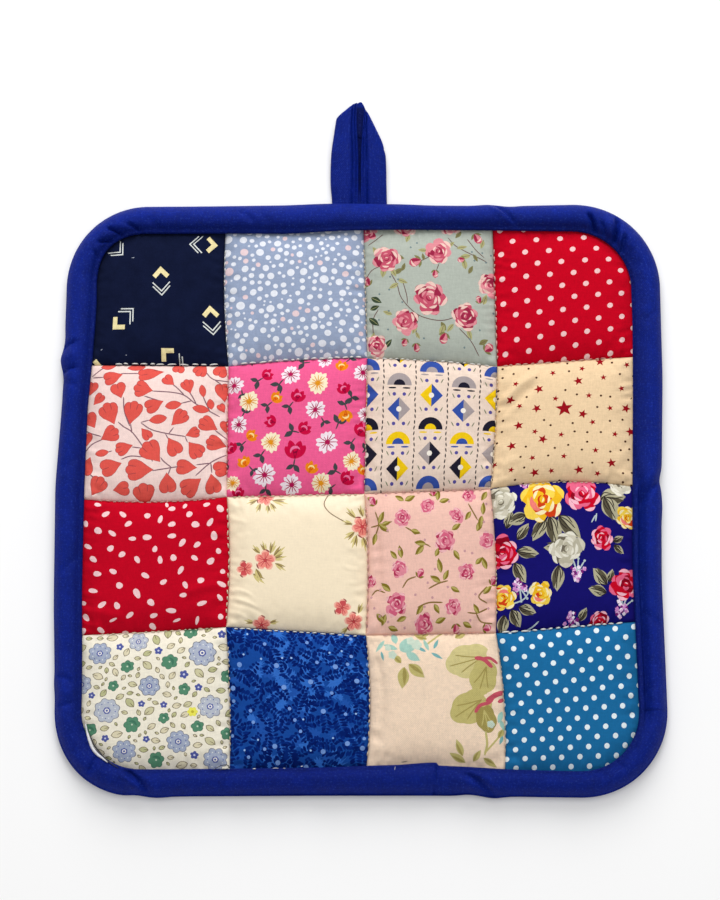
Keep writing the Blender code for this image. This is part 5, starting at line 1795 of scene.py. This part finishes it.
def stitches(name, lines, gap, colour, seed):
    """Short threads laid along lines of points in mm, each line with its stitch length and thickness."""
    draw = random.Random(seed)
    points, faces = [], []
    for line, length, thickness in lines:
        run = np.concatenate([[0], np.cumsum(np.linalg.norm(np.diff(line, axis=0), axis=1))])
        at = draw.uniform(0.4, 1.5)
        while at + length * 1.2 < run[-1]:
            long = length * draw.uniform(0.6, 1.25)
            aside, skew = draw.uniform(-0.14, 0.14), draw.uniform(-0.3, 0.3)
            sink = max(draw.uniform(-0.25, 0.3), 0)
            t = np.linspace(0, 1, 6)
            marks = np.column_stack([np.interp(at + long * t, run, line[:, axis]) for axis in range(3)])
            along = marks[-1] - marks[0]
            across = np.array([-along[1], along[0], 0]) / math.hypot(along[0], along[1])
            marks = marks + across * (aside + skew * (t - 0.5))[:, None]
            marks[:, 2] -= 0.55 * np.abs(2 * t - 1) ** 3 + sink
            radii = thickness / 2 * (0.35 + 0.65 * np.sin(np.pi * np.clip(t, 0.08, 0.92)) ** 0.5)
            lay_thread(marks, radii, points, faces)
            at += long + gap * draw.uniform(0.5, 1.7)
    return thread_piece(name, points, faces, colour)


def seam_line(fixed, upright, height=None, aside=0.0, start=0.02, end=3.98):
    """Points along one seam: an upright one at fixed squares across, or a level one at fixed squares up."""
    run = np.linspace(start, end, 240)
    still = np.full(run.shape, float(fixed))
    flat = plan(still, run) if upright else plan(run, still)
    flat[:, 0 if upright else 1] += aside
    if height is None:        # on the cloth beside the seam
        beside = still + aside / SQUARE
        height = (pad_height(beside, run) if upright else pad_height(run, beside)) + 0.1
    return np.column_stack([flat, np.zeros(len(flat)) + height])


# squares along each seam and in which thread, face up: the seam's number, whether upright, from, to,
# length and thickness of a stitch in mm, how far aside of the seam it shows
FACE_SEAMS = (
    (3, False, 0.16, 0.98, 2.5, 0.5, 0.4, "white"), (3, False, 1.06, 1.98, 2.0, 0.62, 0.25, "white"),
    (3, False, 2.04, 2.98, 1.7, 0.42, -0.1, "white"), (3, False, 3.03, 3.9, 1.8, 0.34, -0.1, "rose"),
    (2, False, 0.08, 0.98, 1.7, 0.4, -0.15, "rose"), (2, False, 1.03, 1.97, 1.5, 0.4, -0.25, "cream"),
    (2, False, 2.05, 2.96, 1.6, 0.4, -0.1, "rose"), (2, False, 3.2, 3.8, 1.3, 0.34, -0.3, "cream"),
    (1, False, 0.1, 0.96, 1.3, 0.36, -0.15, "cream"), (1, False, 1.03, 1.97, 1.7, 0.42, -0.4, "white"),
    (1, False, 2.1, 2.9, 1.3, 0.34, -0.1, "rose"), (1, False, 3.02, 3.95, 2.2, 0.62, -0.1, "white"),
    (1, True, 3.05, 3.9, 1.5, 0.42, 0.35, "white"), (1, True, 2.1, 2.95, 1.3, 0.36, 0.0, "rose"),
    (1, True, 1.04, 1.96, 1.6, 0.46, -0.2, "cream"), (1, True, 0.1, 0.9, 1.3, 0.32, 0.1, "cream"),
    (2, True, 3.1, 3.9, 1.2, 0.36, 0.0, "cream"), (2, True, 2.05, 2.95, 1.2, 0.3, 0.1, "cream"),
    (2, True, 1.05, 1.95, 1.9, 0.46, 0.0, "rose"), (2, True, 0.05, 0.95, 1.5, 0.38, -0.1, "cream"),
    (3, True, 3.03, 3.92, 1.7, 0.48, 0.1, "rose"), (3, True, 2.03, 2.97, 1.3, 0.38, 0.0, "cream"),
    (3, True, 1.1, 1.6, 1.2, 0.32, -0.1, "cream"), (3, True, 0.1, 0.9, 1.2, 0.3, -0.1, "cream"),
)
THREADS = {"white": (240, 240, 236), "cream": (232, 212, 182), "rose": (226, 170, 160)}
for dyed, colour in THREADS.items():
    sewn = []
    for number, upright, start, end, length, thickness, aside, thread in FACE_SEAMS:
        if thread == dyed:
            sewn.append((seam_line(number, upright, None, aside, start, end), length, thickness))
    stitches(dyed + "_quilting_stitches", sewn, 0.8, colour, 3)
back_seams = [(seam_line(k, upright, 0.98), 2.0, 0.42) for k in (1, 2, 3) for upright in (True, False)]
stitches("back_stitches", back_seams, 1.4, (30, 50, 150), 4)


# Ends of sewing thread are left lying on the binding's front, and one dark strand is painted shadow.
def on_binding(x, y):
    """Height in mm of the binding's front, or of the patchwork beside it, above a place on the pad."""
    near = np.hypot(front_spots[:, 0] - x, front_spots[:, 1] - y)
    patch = float(pad_height((x + 94.3) / SQUARE, (y + 93.5) / SQUARE))
    return max(float(front_spots[near < max(near.min() + 0.1, 0.6), 2].max()), patch) + 0.1


front_spots = (outer_face.reshape(-1, 3) - (PAD_X, PAD_Y, 0)) / MM
front_spots = front_spots[front_spots[:, 2] > 3.4]
# for each: the places it passes over and its greatest thickness, in mm
WHITE_ENDS = (
    (((-92.7, -78.2), (-92.2, -80.8), (-91.1, -84.2), (-90.0, -86.7), (-88.4, -88.6), (-86.9, -89.7),
      (-84.9, -91.3)), 1.1),
    (((-45.5, -93.5), (-44.7, -93.3), (-43.8, -93.5)), 0.34),
    (((-36.1, -93.5), (-35.5, -93.4), (-35.0, -93.5)), 0.3),
    (((-29.4, -93.3), (-28.3, -93.2), (-27.4, -93.3)), 0.2), (((-25.8, -93.2), (-25.0, -93.3)), 0.16),
    (((-20.0, -92.7), (-19.2, -92.5)), 0.26), (((11.9, -92.6), (11.6, -93.9)), 0.14),
)
DARK_ENDS_AND_SHADOW_LINE = (
    # The first dark strand is painted shadow: a dark line standing in for the shadow in the gap between the
    # herb square and the binding's bottom left curve.
    (((-92.9, -78.0), (-91.7, -81.2), (-90.5, -83.6), (-89.5, -85.7), (-87.9, -87.6), (-85.9, -89.9),
      (-83.7, -91.7), (-81.2, -93.2)), 0.46),
    (((-49.4, -94.0), (-47.8, -92.8), (-45.5, -92.1), (-44.3, -92.4), (-44.2, -93.3), (-45.8, -93.6),
      (-48.1, -93.9)), 0.34),
    (((13.9, -91.2), (15.9, -91.0)), 0.3),
)
for name, ends, colour in (("loose_white_threads", WHITE_ENDS, (236, 236, 240)),
                           ("loose_dark_threads_and_shadow_line", DARK_ENDS_AND_SHADOW_LINE, (20, 18, 24))):
    points, faces = [], []
    for marks, thickness in ends:
        line = smooth_line(marks, 5)
        lying = np.column_stack([line, [on_binding(x, y) for x, y in line]])
        taper = np.sin(np.pi * np.linspace(0.04, 0.96, len(line))) ** 0.6
        lay_thread(lying, thickness / 2 * taper, points, faces)
    thread_piece(name, points, faces, colour)


# ==== Table, light and camera
# The pot holder lies on a plain pale table under soft daylight that comes mostly from beyond its loop.
CAMERA_DISTANCE = 0.85
CAMERA_HEIGHT = math.radians(80)
VIEW_MIDDLE = Vector((0.0, -0.0026, 0.0))
LENS = 98.1                   # mm, on a sensor 36 mm wide
SKY_STRENGTH = 0.425

bm = bmesh.new()
bmesh.ops.create_grid(bm, x_segments=2, y_segments=2, size=3)
table_mesh = bpy.data.meshes.new("table")
bm.to_mesh(table_mesh)
bm.free()
table = bpy.data.objects.new("table", table_mesh)
bpy.context.scene.collection.objects.link(table)
table_finish = bpy.data.materials.new("pale_table")
table_finish.use_nodes = True
table_finish.node_tree.nodes["Principled BSDF"].inputs["Base Color"].default_value = (0.9, 0.9, 0.9, 1)
table_finish.node_tree.nodes["Principled BSDF"].inputs["Roughness"].default_value = 0.9
table_finish.node_tree.nodes["Principled BSDF"].inputs["Specular IOR Level"].default_value = 0.1
table_mesh.materials.append(table_finish)


def soft_light(name, place, size, power):
    """A round white light that looks at the middle of the view."""
    light = bpy.data.lights.new(name, "AREA")
    light.shape = "DISK"
    light.size = size
    light.energy = power
    lamp = bpy.data.objects.new(name, light)
    lamp.location = place
    lamp.rotation_euler = (VIEW_MIDDLE - Vector(place)).to_track_quat("-Z", "Y").to_euler()
    bpy.context.scene.collection.objects.link(lamp)


soft_light("window", (-0.02, 1.02, 0.62), 0.9, 13.0)
soft_light("ceiling", (0.1, 0.1, 1.5), 2.2, 10.8)

sky = bpy.data.worlds.new("room")
sky.use_nodes = True
sky.node_tree.nodes["Background"].inputs["Color"].default_value = (1, 1, 1, 1)
sky.node_tree.nodes["Background"].inputs["Strength"].default_value = SKY_STRENGTH
bpy.context.scene.world = sky
bpy.context.scene.view_settings.view_transform = "Standard"

eye = bpy.data.cameras.new("camera")
eye.sensor_fit = "AUTO"
eye.sensor_width = 36
eye.lens = LENS
camera = bpy.data.objects.new("camera", eye)
towards_eye = Vector((0, -math.cos(CAMERA_HEIGHT), math.sin(CAMERA_HEIGHT)))
camera.location = VIEW_MIDDLE + towards_eye * CAMERA_DISTANCE
camera.rotation_euler = (math.pi / 2 - CAMERA_HEIGHT, 0, 0)
bpy.context.scene.collection.objects.link(camera)
bpy.context.scene.camera = camera
